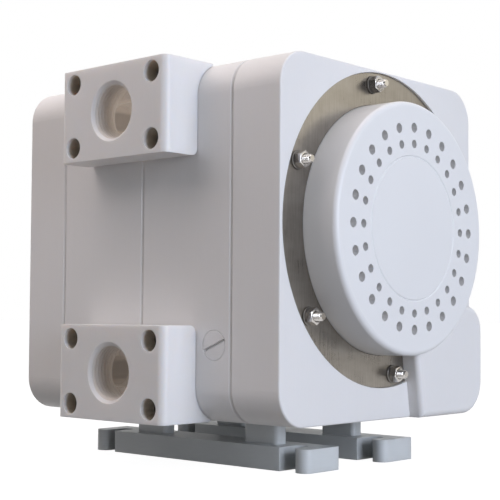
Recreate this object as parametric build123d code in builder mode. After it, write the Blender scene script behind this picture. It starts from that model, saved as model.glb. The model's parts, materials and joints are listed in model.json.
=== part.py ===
"""Air operated diaphragm pump with one inch ports, built from solid plastic blocks.

The shaft lies along X, the ports face -Y and +Z is up.  The origin is on the floor,
midway between the two foot rails and under the seam of the two chamber blocks.
Two chamber blocks meet at X = 0, a diaphragm closes the outer face of each, and a cover
is clamped over each diaphragm by six tie rods.  The right cover carries the air valve
under a perforated silencer cap, and the air inlet.
"""

import os
from math import cos, hypot, radians, sin, sqrt

from build123d import *

os.makedirs("parts", exist_ok=True)

# ---------------------------------------------------------------- driving dimensions, mm
# Housing blocks and covers
BODY_CORNER_R = 20.0
BLOCK_LENGTH = 70.5
COVER_LENGTH = 35.0
SEAM_CHAMFER = 1.2
COVER_EDGE_R = 1.0
SHAFT_RISE = 110.4

# Foot rails
RAIL_LENGTH = 179.0
RAIL_WIDTH = 29.0
RAIL_HEIGHT = 13.4
RAIL_PITCH = 73.6
POST_PITCH = 92.6
POST_LENGTH = 26.4
POST_DEPTH = 9.6
POST_HEIGHT = 14.8
POST_CORNER_R = 3.0
SLOT_PITCH = 148.0
SLOT_WIDTH = 9.0
SLOT_DEPTH = 18.0
SLOT_LIP_R = 3.5

# Port blocks
PORT_WIDTH = 89.0
PORT_HEIGHT = 54.2
PORT_PROTRUSION = 25.6
PORT_EDGE_R = 4.5
PORT_WRAP = 12.0
PORT_HEEL_R = 4.5
PORT_THREAD_R = 15.15
PORT_MOUTH_R = 17.5
PLENUM_LENGTH = 58.0
PLENUM_HEIGHT = 19.0
PLENUM_DEPTH = 9.0
GASKET_LAND = 4.0
GASKET_THICKNESS = 1.5
PORT_SCREW_X = 66.0
PORT_SCREW_Z = 37.6
PORT_SCREW_RECESS = 15.0
PORT_SCREW_POCKET_R = 6.1

# Six millimetre screws
SCREW_R = 3.0
SCREW_HOLE_R = 3.3
SCREW_HEAD_R = 5.0
SCREW_HEAD_H = 6.0
SCREW_KEY = 5.0
PORT_SCREW_GRIP = 14.0
POST_SCREW_GRIP = 12.0
POST_SCREW_RECESS = 8.0

# Tie rods and clamp rings
TIE_COUNT = 6
TIE_PHASE = 6.7
TIE_INSET = 7.0
TIE_ROD_R = 2.5
TIE_HOLE_R = 2.8
TIE_TIP = 4.7
NUT_FLATS = 8.4
NUT_HEIGHT = 4.7
WASHER_R = 5.3
WASHER_THICKNESS = 1.0
RING_THICKNESS = 4.0
RING_SINK = 1.5
RING_WIDTH = 18.8
RING_TOP_MARGIN = 1.4
RING_SIDE_MARGIN = 2.2

# Diaphragms and their chambers
DIAPHRAGM_R = 72.0
DIAPHRAGM_THICKNESS = 4.0
DIAPHRAGM_ROLL = 3.0
BOWL_R = 62.0
BOWL_FLOOR_R = 10.0
STROKE = 6.0
END_GAP = 1.5
ROLL_INSET = 2.0

# Shaft and plates
SHAFT_R = 9.0
SHAFT_END_R = 6.0
BUSH_R = 13.0
SEAL_WIDTH = 3.0
PLATE_R = 32.0
INNER_PLATE_THICKNESS = 8.0
OUTER_PLATE_THICKNESS = 6.0
SHAFT_NUT_R = 9.0
SHAFT_NUT_HEIGHT = 6.0
PLATE_EDGE_R = 3.0

# Check valves, one column in each chamber block
VALVE_X = 19.5
VALVE_Y = -44.0
COLUMN_R = 13.0
COLUMN_PLUG_R = 13.5
COLUMN_PLUG_H = 10.0
PASSAGE_R = 8.5
BALL_R = 8.5
BALL_LIFT = 6.0
SEAT_HEIGHT = 7.0
SEAT_BORE_R = 5.5
SEAT_CONE = 2.5
CAGE_BORE_R = 10.0
STOP_HEIGHT = 3.0
STOP_WIDTH = 5.0
SEAT_ABOVE_PORT = 12.0

# Drain plugs
DRAIN_INSET = 12.5
DRAIN_RISE = 43.4
DRAIN_PLUG_R = 8.4
DRAIN_PLUG_LENGTH = 12.0
DRAIN_BORE_R = 3.5
PLUG_SLOT = 1.6
PLUG_SLOT_DEPTH = 2.0
PLUG_SLOT_ANGLE = 23.0
PLUG_CHAMFER = 0.4

# Silencer cap
CAP_R = 73.0
CAP_WALL = 6.0
CAP_FACE = 4.6
CAP_PROTRUSION = 21.2
CAP_EDGE_R = 3.0
CAP_HOLE_COUNT = 24
CAP_HOLE_INSET = 14.9
CAP_OUTER_HOLE_R = 2.85
CAP_RINGS_APART = 9.4
CAP_INNER_HOLE_R = 2.4
DISC_INSET = 7.2
DISC_THICKNESS = 3.0
DISC_LEDGE = 3.5
DISC_STUD_R = 6.0
DISC_STUD_GRIP = 5.0
GROOVE = 0.7
SILENCER_THICKNESS = 8.0
SILENCER_GAP = 1.0

# Air valve
SPIGOT_WALL = 6.0
HUB_CAVITY_DEPTH = 8.1
VALVE_BODY_LENGTH = 72.0
VALVE_BODY_HEIGHT = 38.0
VALVE_BODY_DEPTH = 24.0
SPOOL_DEPTH = 10.0
SPOOL_R = 7.0
SPOOL_WAIST_R = 5.0
SPOOL_LAND = 9.0
SPOOL_STROKE = 4.0
END_CAP_R = 9.5
END_CAP_THICKNESS = 4.0
VALVE_SCREW_Y = 58.0
VALVE_SCREW_Z = 26.0
VALVE_SCREW_R = 2.5
VALVE_SCREW_HEAD_R = 4.3
VALVE_SCREW_HEAD_H = 5.0
VALVE_SCREW_GRIP = 8.0

# Air inlet block and air channels
INLET_FRONT_FOOT = 26.5
INLET_FRONT_TOP = 16.5
INLET_DROP = 43.4
INLET_PROTRUSION = 9.5
INLET_CORNER_R = 16.0
INLET_EDGE_R = 3.5
INLET_RISE = 30.0
INLET_THREAD_R = 6.6
INLET_THREAD_LENGTH = 14.0
CHANNEL_R = 3.0
CHANNEL_X = 92.0
FEED_Y = 20.0
FEED_DROP = 10.6
CROSS_Y = 78.5
AIR_PORT_Y = 24.0

# Clearances
SEAT_GAP = 0.02          # fixed fits, on the radius
RUN_GAP = 0.04           # running fits, on the radius
BALL_GAP = 0.05          # a ball above its cone
FACE_GAP = 0.25          # a face that follows a rounded corner
PART_GAP = 0.3           # neighbours that don't carry each other

# ---------------------------------------------------------------- derived places
RING_R = CAP_R + RING_WIDTH
TIE_R = RING_R - TIE_INSET
BODY_DEPTH = 2 * (RING_R + RING_SIDE_MARGIN)
BODY_HEIGHT = SHAFT_RISE + RING_R + RING_TOP_MARGIN
BODY_BOTTOM = RAIL_HEIGHT + POST_HEIGHT
BODY_TOP = BODY_BOTTOM + BODY_HEIGHT
BODY_MID = BODY_BOTTOM + BODY_HEIGHT / 2
SHAFT_Z = BODY_BOTTOM + SHAFT_RISE
SHAFT_AXIS = Axis((0, 0, SHAFT_Z), (1, 0, 0))
FRONT = BODY_DEPTH / 2
COVER_FACE = BLOCK_LENGTH + COVER_LENGTH

POCKET_FLOOR = COVER_FACE - RING_SINK - RING_THICKNESS
RING_FACE = POCKET_FLOOR + RING_THICKNESS
NUT_SEAT = RING_FACE + WASHER_THICKNESS
TIE_END = NUT_SEAT + NUT_HEIGHT + TIE_TIP

PORT_FACE = FRONT + PORT_PROTRUSION
SUCTION_Z = BODY_BOTTOM + PORT_HEIGHT / 2
DISCHARGE_Z = BODY_TOP - PORT_HEIGHT / 2
PLENUM_FLOOR = FRONT + PLENUM_DEPTH
SCREW_SEAT = PORT_FACE - PORT_SCREW_RECESS

RIM_HALF = DIAPHRAGM_THICKNESS / 2
INNER_PLATE_X = BLOCK_LENGTH - RIM_HALF - INNER_PLATE_THICKNESS
OUTER_PLATE_X = BLOCK_LENGTH + RIM_HALF + OUTER_PLATE_THICKNESS
SHAFT_END = OUTER_PLATE_X + SHAFT_NUT_HEIGHT
LIQUID_FLOOR = INNER_PLATE_X - STROKE - END_GAP
AIR_FLOOR = OUTER_PLATE_X + STROKE + END_GAP
NUT_POCKET_R = SHAFT_NUT_R + 4
NUT_POCKET_FLOOR = SHAFT_END + STROKE + END_GAP
SEAL_X = LIQUID_FLOOR - SEAL_WIDTH

DRAIN_X = BLOCK_LENGTH - DRAIN_INSET
DRAIN_Z = BODY_BOTTOM + DRAIN_RISE
SUCTION_SEAT_Z = SUCTION_Z + SEAT_ABOVE_PORT
DISCHARGE_SEAT_Z = DISCHARGE_Z - PASSAGE_R - BALL_LIFT - 2 * BALL_R - SEAT_HEIGHT
COLUMN_TOP = DISCHARGE_Z + PASSAGE_R + 1.5
PLUG_TOP = BODY_BOTTOM + COLUMN_PLUG_H
CONTACT = BALL_R / sqrt(2)
BALL_RISE = SEAT_HEIGHT - SEAT_CONE + (CONTACT - SEAT_BORE_R) + CONTACT + BALL_GAP
STOP_RISE = BALL_RISE + BALL_R + BALL_LIFT + PART_GAP
PASSAGE_Z = (SUCTION_SEAT_Z + DISCHARGE_SEAT_Z) / 2

CAP_FRONT = COVER_FACE + CAP_PROTRUSION
CAP_OUTER_RING_R = CAP_R - CAP_HOLE_INSET
CAP_INNER_RING_R = CAP_OUTER_RING_R - CAP_RINGS_APART
DISC_R = CAP_INNER_RING_R - DISC_INSET
CAP_INSIDE = CAP_FRONT - CAP_FACE
HUB_FLOOR = COVER_FACE - HUB_CAVITY_DEPTH
VALVE_BODY_FACE = HUB_FLOOR + VALVE_BODY_DEPTH
SPOOL_X = HUB_FLOOR + SPOOL_DEPTH
SILENCER_BORE_R = hypot(VALVE_BODY_LENGTH / 2, VALVE_BODY_HEIGHT / 2) + SILENCER_GAP
SPOOL_HALF = VALVE_BODY_LENGTH / 2 - END_CAP_THICKNESS - SPOOL_STROKE - PART_GAP
DISC_LAND_R = DISC_R - DISC_LEDGE
STUD_END = VALVE_BODY_FACE - DISC_STUD_GRIP
SPIGOT_R = CAP_R - CAP_WALL - SEAT_GAP
HUB_CAVITY_R = SPIGOT_R - SPIGOT_WALL

INLET_FACE = COVER_FACE + INLET_PROTRUSION
INLET_HEIGHT = SHAFT_RISE - INLET_DROP
INLET_Z = BODY_BOTTOM + INLET_RISE
FEED_TOP = SHAFT_Z - FEED_DROP
CROSS_TURN = BLOCK_LENGTH + RIM_HALF + CHANNEL_R + 1


# ---------------------------------------------------------------- shared shapes
def finish(piece, label):
    """Name a finished piece and write it."""
    piece.part.label = label
    export_step(piece.part, f"parts/{label}.step")


def mirrored(source, label):
    """Write the left hand copy of a right hand piece."""
    with BuildPart() as copy:
        add(source.part.mirror(Plane.YZ))
    finish(copy, label)
    return copy


def body_outline(grow=0.0):
    """Rounded outline of the blocks and covers, in a YZ sketch."""
    with Locations((0, BODY_MID)):
        RectangleRounded(BODY_DEPTH + 2 * grow, BODY_HEIGHT + 2 * grow, BODY_CORNER_R + grow)


def turned(*points):
    """Closed profile of (x, radius) points about the shaft axis, in an XZ sketch."""
    with BuildLine() as outline:
        Polyline(*[(x, SHAFT_Z + r) for x, r in points], close=True)
    make_face(outline.edges())


def bowl(x_rim, x_floor):
    """Pan with a rounded floor corner, about the shaft axis, in an XZ sketch."""
    outward = x_floor > x_rim
    x_bend = x_floor - BOWL_FLOOR_R if outward else x_floor + BOWL_FLOOR_R
    with BuildLine() as outline:
        Polyline((x_floor, SHAFT_Z + BOWL_R - BOWL_FLOOR_R), (x_floor, SHAFT_Z), (x_rim, SHAFT_Z),
                 (x_rim, SHAFT_Z + BOWL_R), (x_bend, SHAFT_Z + BOWL_R))
        CenterArc((x_bend, SHAFT_Z + BOWL_R - BOWL_FLOOR_R), BOWL_FLOOR_R, 0 if outward else 90, 90)
    make_face(outline.edges())


def inlet_outline(grow=0.0):
    """Outline of the air inlet block on the right cover, in a YZ sketch."""
    top = BODY_BOTTOM + INLET_HEIGHT + grow
    with BuildLine() as outline:
        CenterArc((FRONT - BODY_CORNER_R, BODY_BOTTOM + BODY_CORNER_R), BODY_CORNER_R, -90, 90)
        Line((FRONT, BODY_BOTTOM + BODY_CORNER_R), (FRONT, top - INLET_CORNER_R))
        CenterArc((FRONT - INLET_CORNER_R, top - INLET_CORNER_R), INLET_CORNER_R, 0, 90)
        Polyline((FRONT - INLET_CORNER_R, top), (INLET_FRONT_TOP - grow, top),
                 (INLET_FRONT_FOOT - grow, BODY_BOTTOM), (FRONT - BODY_CORNER_R, BODY_BOTTOM))
    make_face(outline.edges())


def tie_places():
    """The tie rod places in the YZ plane."""
    angles = [radians(90 + TIE_PHASE + i * 360 / TIE_COUNT) for i in range(TIE_COUNT)]
    return [(TIE_R * cos(angle), SHAFT_Z + TIE_R * sin(angle)) for angle in angles]


def along_x(x, length, places, r, mode=Mode.SUBTRACT):
    """Round holes or pins along +X from x, at (y, z) places."""
    with BuildSketch(Plane.YZ.offset(x)) as spots:
        with Locations(*places):
            Circle(r)
    extrude(spots.sketch, amount=length, mode=mode)


def along_y(y, length, places, r, mode=Mode.SUBTRACT):
    """Round holes or pins along +Y from y, at (x, z) places."""
    with BuildSketch(Plane.XZ.offset(-y)) as spots:
        with Locations(*places):
            Circle(r)
    extrude(spots.sketch, amount=-length, mode=mode)


def along_z(z, length, places, r, mode=Mode.SUBTRACT):
    """Round holes or pins along +Z from z, at (x, y) places."""
    with BuildSketch(Plane.XY.offset(z)) as spots:
        with Locations(*places):
            Circle(r)
    extrude(spots.sketch, amount=length, mode=mode)


# ---------------------------------------------------------------- chamber blocks
COLUMN = [(VALVE_X, VALVE_Y)]
BOTH_COLUMNS = [(-VALVE_X, VALVE_Y), (VALVE_X, VALVE_Y)]
CENTRE = [(0, SHAFT_Z)]
CROSS = [(CROSS_Y, SHAFT_Z)]
POST_SCREWS = [(POST_PITCH / 2, side * RAIL_PITCH / 2) for side in (-1, 1)]

with BuildPart() as right_chamber:
    with BuildSketch(Plane.YZ):
        body_outline()
    extrude(amount=BLOCK_LENGTH)
    chamfer(right_chamber.faces().filter_by(Axis.X).edges(), SEAM_CHAMFER)
    # Pan of the liquid chamber, and the seat of the diaphragm's rim
    with BuildSketch(Plane.XZ):
        bowl(BLOCK_LENGTH + 1, LIQUID_FLOOR)
    revolve(axis=SHAFT_AXIS, mode=Mode.SUBTRACT)
    along_x(BLOCK_LENGTH - RIM_HALF, DIAPHRAGM_THICKNESS, CENTRE, DIAPHRAGM_R)
    # Shaft bore
    along_x(0, BLOCK_LENGTH, CENTRE, BUSH_R)
    # Valve column, its side passages to the ports and to the liquid chamber
    along_z(BODY_BOTTOM, COLUMN_TOP - BODY_BOTTOM, COLUMN, COLUMN_R)
    along_z(BODY_BOTTOM, COLUMN_PLUG_H, COLUMN, COLUMN_PLUG_R)
    along_y(-FRONT, FRONT + VALVE_Y, [(VALVE_X, SUCTION_Z), (VALVE_X, DISCHARGE_Z)], PASSAGE_R)
    along_x(VALVE_X, BLOCK_LENGTH - VALVE_X, [(VALVE_Y, PASSAGE_Z)], PASSAGE_R)
    # Seat of the drain plug, and the drain up into the bottom of the pan
    along_y(-FRONT, DRAIN_PLUG_LENGTH, [(DRAIN_X, DRAIN_Z)], DRAIN_PLUG_R)
    with BuildSketch(Plane.XZ.offset(FRONT)) as mouth:
        with Locations((DRAIN_X, DRAIN_Z)):
            Circle(DRAIN_PLUG_R + PLUG_CHAMFER)
    extrude(mouth.sketch, amount=-PLUG_CHAMFER, taper=45, mode=Mode.SUBTRACT)
    along_y(-FRONT, FRONT + DRAIN_BORE_R, [(DRAIN_X, DRAIN_Z)], DRAIN_BORE_R)
    along_z(DRAIN_Z, SHAFT_Z - BOWL_R + DRAIN_BORE_R - DRAIN_Z, [(DRAIN_X, 0)], DRAIN_BORE_R)
    # Screw holes for the port blocks and the foot rails
    for port_z in (SUCTION_Z, DISCHARGE_Z):
        holes = [(PORT_SCREW_X / 2, port_z + side * PORT_SCREW_Z / 2) for side in (-1, 1)]
        along_y(-FRONT, PORT_SCREW_GRIP + 2, holes, SCREW_R)
    along_z(BODY_BOTTOM, POST_SCREW_GRIP + 2, POST_SCREWS, SCREW_R)
    # Tie rods and the air channel to the far cover
    along_x(0, BLOCK_LENGTH, tie_places(), TIE_HOLE_R)
    along_x(0, BLOCK_LENGTH, CROSS, CHANNEL_R)
finish(right_chamber, "right_chamber")
left_chamber = mirrored(right_chamber, "left_chamber")

# ---------------------------------------------------------------- covers
with BuildPart() as plain_cover:
    with BuildSketch(Plane.YZ.offset(BLOCK_LENGTH)):
        body_outline()
    extrude(amount=COVER_LENGTH)
    chamfer(plain_cover.faces().sort_by(Axis.X)[0].edges(), SEAM_CHAMFER)
    fillet(plain_cover.faces().sort_by(Axis.X)[-1].edges(), COVER_EDGE_R)
    # Air chamber with a pocket for the shaft nut
    with BuildSketch(Plane.XZ):
        bowl(BLOCK_LENGTH - 1, AIR_FLOOR)
    revolve(axis=SHAFT_AXIS, mode=Mode.SUBTRACT)
    along_x(BLOCK_LENGTH - 1, 1 + RIM_HALF, CENTRE, DIAPHRAGM_R)
    along_x(BLOCK_LENGTH, NUT_POCKET_FLOOR - BLOCK_LENGTH, CENTRE, NUT_POCKET_R)
    # Seat of the clamp ring
    with BuildSketch(Plane.YZ.offset(POCKET_FLOOR)):
        with Locations((0, SHAFT_Z)):
            Circle(RING_R + PART_GAP)
            Circle(CAP_R, mode=Mode.SUBTRACT)
    extrude(amount=COVER_FACE - POCKET_FLOOR, mode=Mode.SUBTRACT)

with BuildPart() as far_cover:
    add(plain_cover.part)
    # Air channel from the other side, round the diaphragm and into the air chamber
    along_x(BLOCK_LENGTH, CROSS_TURN - BLOCK_LENGTH + CHANNEL_R, CROSS, CHANNEL_R)
    along_y(BOWL_R - BOWL_FLOOR_R / 2, CROSS_Y - BOWL_R + BOWL_FLOOR_R / 2,
            [(CROSS_TURN, SHAFT_Z)], CHANNEL_R)
    along_x(BLOCK_LENGTH, COVER_LENGTH, tie_places(), TIE_HOLE_R)
left_cover = mirrored(far_cover, "left_cover")

with BuildPart() as right_cover:
    add(plain_cover.part)
    # Air inlet block, flush with the cover's underside and rear
    with BuildSketch(Plane.YZ.offset(POCKET_FLOOR - 1)):
        inlet_outline()
    extrude(amount=INLET_FACE - POCKET_FLOOR + 1)
    fillet(right_cover.faces().sort_by(Axis.X)[-1].edges(), INLET_EDGE_R)
    # Seat of the silencer cap round a low spigot, and the hollow behind the air valve
    with BuildSketch(Plane.YZ.offset(POCKET_FLOOR)):
        with Locations((0, SHAFT_Z)):
            Circle(CAP_R + PART_GAP)
            Circle(SPIGOT_R, mode=Mode.SUBTRACT)
    extrude(amount=INLET_FACE - POCKET_FLOOR + 1, mode=Mode.SUBTRACT)
    along_x(COVER_FACE, INLET_PROTRUSION + 1, CENTRE, SPIGOT_R + 1)
    along_x(HUB_FLOOR, COVER_LENGTH, CENTRE, HUB_CAVITY_R)
    # Air inlet thread, its feed to the valve, and the channels to the two air chambers
    along_y(FRONT - INLET_THREAD_LENGTH, INLET_THREAD_LENGTH, [(CHANNEL_X, INLET_Z)], INLET_THREAD_R)
    along_y(FEED_Y, FRONT - FEED_Y, [(CHANNEL_X, INLET_Z)], CHANNEL_R)
    along_z(INLET_Z, FEED_TOP - INLET_Z, [(CHANNEL_X, FEED_Y)], CHANNEL_R)
    along_x(CHANNEL_X, HUB_FLOOR - CHANNEL_X, [(FEED_Y, FEED_TOP)], CHANNEL_R)
    along_x(BLOCK_LENGTH, CHANNEL_X - BLOCK_LENGTH, CROSS, CHANNEL_R)
    along_y(AIR_PORT_Y, CROSS_Y - AIR_PORT_Y, [(CHANNEL_X, SHAFT_Z)], CHANNEL_R)
    along_x(CHANNEL_X, HUB_FLOOR - CHANNEL_X, [(AIR_PORT_Y, SHAFT_Z)], CHANNEL_R)
    along_x(AIR_FLOOR - 1, HUB_FLOOR - AIR_FLOOR + 1, [(-AIR_PORT_Y, SHAFT_Z)], CHANNEL_R)
    # Valve screws and tie rods
    valve_screw_places = [(y * VALVE_SCREW_Y / 2, SHAFT_Z + z * VALVE_SCREW_Z / 2)
                          for y in (-1, 1) for z in (-1, 1)]
    along_x(HUB_FLOOR - VALVE_SCREW_GRIP - 1, VALVE_SCREW_GRIP + 1, valve_screw_places, VALVE_SCREW_R)
    along_x(BLOCK_LENGTH, INLET_FACE - BLOCK_LENGTH, tie_places(), TIE_HOLE_R)
finish(right_cover, "right_cover")

# ---------------------------------------------------------------- clamp rings and tie rods
with BuildPart() as full_ring:
    with BuildSketch(Plane.YZ.offset(POCKET_FLOOR)):
        with Locations((0, SHAFT_Z)):
            Circle(RING_R)
            Circle(CAP_R + PART_GAP, mode=Mode.SUBTRACT)
        with Locations(*tie_places()):
            Circle(TIE_HOLE_R, mode=Mode.SUBTRACT)
    extrude(amount=RING_THICKNESS)
left_clamp_ring = mirrored(full_ring, "left_clamp_ring")

with BuildPart() as right_clamp_ring:
    add(full_ring.part)
    # The ring is open where the air inlet block stands
    with BuildSketch(Plane.YZ.offset(POCKET_FLOOR)):
        inlet_outline(PART_GAP)
    extrude(amount=RING_THICKNESS, mode=Mode.SUBTRACT)
finish(right_clamp_ring, "right_clamp_ring")

with BuildPart() as tie_rods:
    along_x(-TIE_END, 2 * TIE_END, tie_places(), TIE_ROD_R, Mode.ADD)
    chamfer(tie_rods.faces().filter_by(Axis.X).edges(), 0.7)
finish(tie_rods, "tie_rods")

with BuildPart() as tie_washers:
    for seat in (-RING_FACE - WASHER_THICKNESS, RING_FACE):
        with BuildSketch(Plane.YZ.offset(seat)):
            with Locations(*tie_places()):
                Circle(WASHER_R)
                Circle(TIE_HOLE_R, mode=Mode.SUBTRACT)
        extrude(amount=WASHER_THICKNESS)
finish(tie_washers, "tie_washers")

with BuildPart() as tie_nuts:
    for seat in (-NUT_SEAT - NUT_HEIGHT, NUT_SEAT):
        with BuildSketch(Plane.YZ.offset(seat)):
            with Locations(*tie_places()):
                RegularPolygon(NUT_FLATS / 2, 6, major_radius=False)
                Circle(TIE_ROD_R + SEAT_GAP, mode=Mode.SUBTRACT)
        extrude(amount=NUT_HEIGHT)
finish(tie_nuts, "tie_nuts")


# ---------------------------------------------------------------- port blocks
def port_block(label, port_z, block_bottom, heel_z):
    """Threaded port block over the seam of the two chamber blocks, its heel rounded at heel_z."""
    with BuildPart() as block:
        with BuildSketch(Plane.XY.offset(block_bottom)) as plan:
            with Locations((0, (PORT_WRAP - PORT_PROTRUSION) / 2 - FRONT)):
                Rectangle(PORT_WIDTH, PORT_PROTRUSION + PORT_WRAP)
            fillet(plan.vertices().group_by(Axis.Y)[0], PORT_EDGE_R)
        extrude(plan.sketch, amount=PORT_HEIGHT)
        # The rear follows the rounded corner of the housing
        with BuildSketch(Plane.YZ.offset(-PORT_WIDTH / 2)) as hollow:
            body_outline(FACE_GAP)
        extrude(hollow.sketch, amount=PORT_WIDTH, mode=Mode.SUBTRACT)
        heel = block.edges().filter_by(Axis.X).sort_by_distance((0, -FRONT, heel_z))[0]
        fillet(heel, PORT_HEEL_R)
        # Threaded mouth, and the plenum that feeds both chamber blocks
        along_y(-PORT_FACE, PORT_FACE - PLENUM_FLOOR, [(0, port_z)], PORT_THREAD_R)
        with BuildSketch(Plane.XZ.offset(PORT_FACE)) as mouth:
            with Locations((0, port_z)):
                Circle(PORT_MOUTH_R)
        extrude(mouth.sketch, amount=-(PORT_MOUTH_R - PORT_THREAD_R), taper=45, mode=Mode.SUBTRACT)
        with BuildSketch(Plane.XZ.offset(PLENUM_FLOOR)) as plenum:
            with Locations((0, port_z)):
                SlotOverall(PLENUM_LENGTH, PLENUM_HEIGHT)
        extrude(plenum.sketch, amount=-PLENUM_DEPTH, mode=Mode.SUBTRACT)
        # Gasket groove round the plenum
        with BuildSketch(Plane.XZ.offset(FRONT + GASKET_THICKNESS)) as groove:
            with Locations((0, port_z)):
                SlotOverall(PLENUM_LENGTH + 2 * GASKET_LAND, PLENUM_HEIGHT + 2 * GASKET_LAND)
        extrude(groove.sketch, amount=-GASKET_THICKNESS, mode=Mode.SUBTRACT)
        # Four screws in deep pockets
        screws = [(x * PORT_SCREW_X / 2, port_z + z * PORT_SCREW_Z / 2) for x in (-1, 1) for z in (-1, 1)]
        along_y(-PORT_FACE, PORT_PROTRUSION + PORT_WRAP, screws, SCREW_HOLE_R)
        along_y(-PORT_FACE, PORT_SCREW_RECESS, screws, PORT_SCREW_POCKET_R)
    finish(block, label)


port_block("suction_port_block", SUCTION_Z, BODY_BOTTOM, BODY_BOTTOM + PORT_HEIGHT)
port_block("discharge_port_block", DISCHARGE_Z, BODY_TOP - PORT_HEIGHT, BODY_TOP - PORT_HEIGHT)

with BuildPart() as port_gaskets:
    for port_z in (SUCTION_Z, DISCHARGE_Z):
        with BuildSketch(Plane.XZ.offset(FRONT + GASKET_THICKNESS)):
            with Locations((0, port_z)):
                SlotOverall(PLENUM_LENGTH + 2 * (GASKET_LAND - SEAT_GAP),
                            PLENUM_HEIGHT + 2 * (GASKET_LAND - SEAT_GAP))
                SlotOverall(PLENUM_LENGTH, PLENUM_HEIGHT, mode=Mode.SUBTRACT)
        extrude(amount=-GASKET_THICKNESS)
finish(port_gaskets, "port_gaskets")

with BuildPart() as port_screws:
    for port_z in (SUCTION_Z, DISCHARGE_Z):
        screws = [(x * PORT_SCREW_X / 2, port_z + z * PORT_SCREW_Z / 2) for x in (-1, 1) for z in (-1, 1)]
        along_y(-SCREW_SEAT, SCREW_SEAT - FRONT + PORT_SCREW_GRIP, screws, SCREW_R - SEAT_GAP, Mode.ADD)
        along_y(-SCREW_SEAT - SCREW_HEAD_H, SCREW_HEAD_H, screws, SCREW_HEAD_R, Mode.ADD)
        with BuildSketch(Plane.XZ.offset(SCREW_SEAT + SCREW_HEAD_H)):
            with Locations(*screws):
                RegularPolygon(SCREW_KEY / 2, 6, major_radius=False)
        extrude(amount=-SCREW_HEAD_H / 2, mode=Mode.SUBTRACT)
finish(port_screws, "port_screws")


# ---------------------------------------------------------------- feet
def foot_rail(label, rail_y):
    """Rail with a slot open to the front near each end, and two posts up to the housing."""
    front = rail_y - RAIL_WIDTH / 2
    with BuildPart() as rail:
        with BuildSketch() as plan:
            with Locations((0, rail_y)):
                Rectangle(RAIL_LENGTH, RAIL_WIDTH)
            for side in (-1, 1):
                with Locations((side * SLOT_PITCH / 2, front)):
                    SlotOverall(2 * SLOT_DEPTH, SLOT_WIDTH, rotation=90, mode=Mode.SUBTRACT)
            front_corners = plan.vertices().group_by(Axis.Y)[0].sort_by(Axis.X)
            prong_r = ((RAIL_LENGTH - SLOT_PITCH - SLOT_WIDTH) / 2) * 0.48
            fillet(front_corners[:2] + front_corners[-2:], prong_r)
            fillet(front_corners[2:4], SLOT_LIP_R)
        extrude(plan.sketch, amount=RAIL_HEIGHT)
        posts = [(side * POST_PITCH / 2, rail_y) for side in (-1, 1)]
        with BuildSketch(Plane.XY.offset(RAIL_HEIGHT)) as feet:
            with Locations(*posts):
                RectangleRounded(POST_LENGTH, POST_DEPTH, POST_CORNER_R)
        extrude(feet.sketch, amount=POST_HEIGHT)
        along_z(0, RAIL_HEIGHT + POST_HEIGHT, posts, SCREW_HOLE_R)
        along_z(0, POST_SCREW_RECESS, posts, SCREW_HEAD_R + SCREW_HOLE_R - SCREW_R)
    finish(rail, label)


foot_rail("front_rail", -RAIL_PITCH / 2)
foot_rail("rear_rail", RAIL_PITCH / 2)

with BuildPart() as rail_screws:
    posts = [(x * POST_PITCH / 2, y * RAIL_PITCH / 2) for x in (-1, 1) for y in (-1, 1)]
    along_z(POST_SCREW_RECESS, BODY_BOTTOM - POST_SCREW_RECESS + POST_SCREW_GRIP, posts,
            SCREW_R - SEAT_GAP, Mode.ADD)
    along_z(POST_SCREW_RECESS - SCREW_HEAD_H, SCREW_HEAD_H, posts, SCREW_HEAD_R, Mode.ADD)
    with BuildSketch(Plane.XY.offset(POST_SCREW_RECESS - SCREW_HEAD_H)):
        with Locations(*posts):
            RegularPolygon(SCREW_KEY / 2, 6, major_radius=False)
    extrude(amount=SCREW_HEAD_H / 2, mode=Mode.SUBTRACT)
finish(rail_screws, "rail_screws")

# ---------------------------------------------------------------- slotted drain plugs
with BuildPart() as drain_plugs:
    for side in (-1, 1):
        along_y(-FRONT, DRAIN_PLUG_LENGTH, [(side * DRAIN_X, DRAIN_Z)], DRAIN_PLUG_R - SEAT_GAP, Mode.ADD)
    chamfer(drain_plugs.faces().filter_by(Axis.Y).sort_by(Axis.Y)[:2].edges(), PLUG_CHAMFER)
    with BuildSketch(Plane.XZ.offset(FRONT)):
        with Locations((-DRAIN_X, DRAIN_Z), (DRAIN_X, DRAIN_Z)):
            Rectangle(2 * DRAIN_PLUG_R + 1, PLUG_SLOT, rotation=PLUG_SLOT_ANGLE)
    extrude(amount=-PLUG_SLOT_DEPTH, mode=Mode.SUBTRACT)
finish(drain_plugs, "drain_plugs")

# ---------------------------------------------------------------- silencer cap
with BuildPart() as silencer_cap:
    with BuildSketch(Plane.XZ):
        turned((POCKET_FLOOR, CAP_R - CAP_WALL), (POCKET_FLOOR, CAP_R), (CAP_FRONT, CAP_R),
               (CAP_FRONT, DISC_R + GROOVE), (CAP_FRONT - GROOVE, DISC_R),
               (CAP_FRONT - DISC_THICKNESS, DISC_R), (CAP_FRONT - DISC_THICKNESS, DISC_LAND_R),
               (CAP_INSIDE, DISC_LAND_R), (CAP_INSIDE, CAP_R - CAP_WALL))
    revolve(axis=SHAFT_AXIS)
    rims = silencer_cap.edges().filter_by(GeomType.CIRCLE).group_by(SortBy.RADIUS)[-1]
    fillet(rims.sort_by(Axis.X)[-1], CAP_EDGE_R)
    # Two rings of exhaust holes
    for ring_r, hole_r in ((CAP_OUTER_RING_R, CAP_OUTER_HOLE_R), (CAP_INNER_RING_R, CAP_INNER_HOLE_R)):
        with BuildSketch(Plane.YZ.offset(CAP_FRONT)):
            with Locations((0, SHAFT_Z)):
                with PolarLocations(ring_r, CAP_HOLE_COUNT):
                    Circle(hole_r)
        extrude(amount=-CAP_FACE, mode=Mode.SUBTRACT)
finish(silencer_cap, "silencer_cap")

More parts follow.
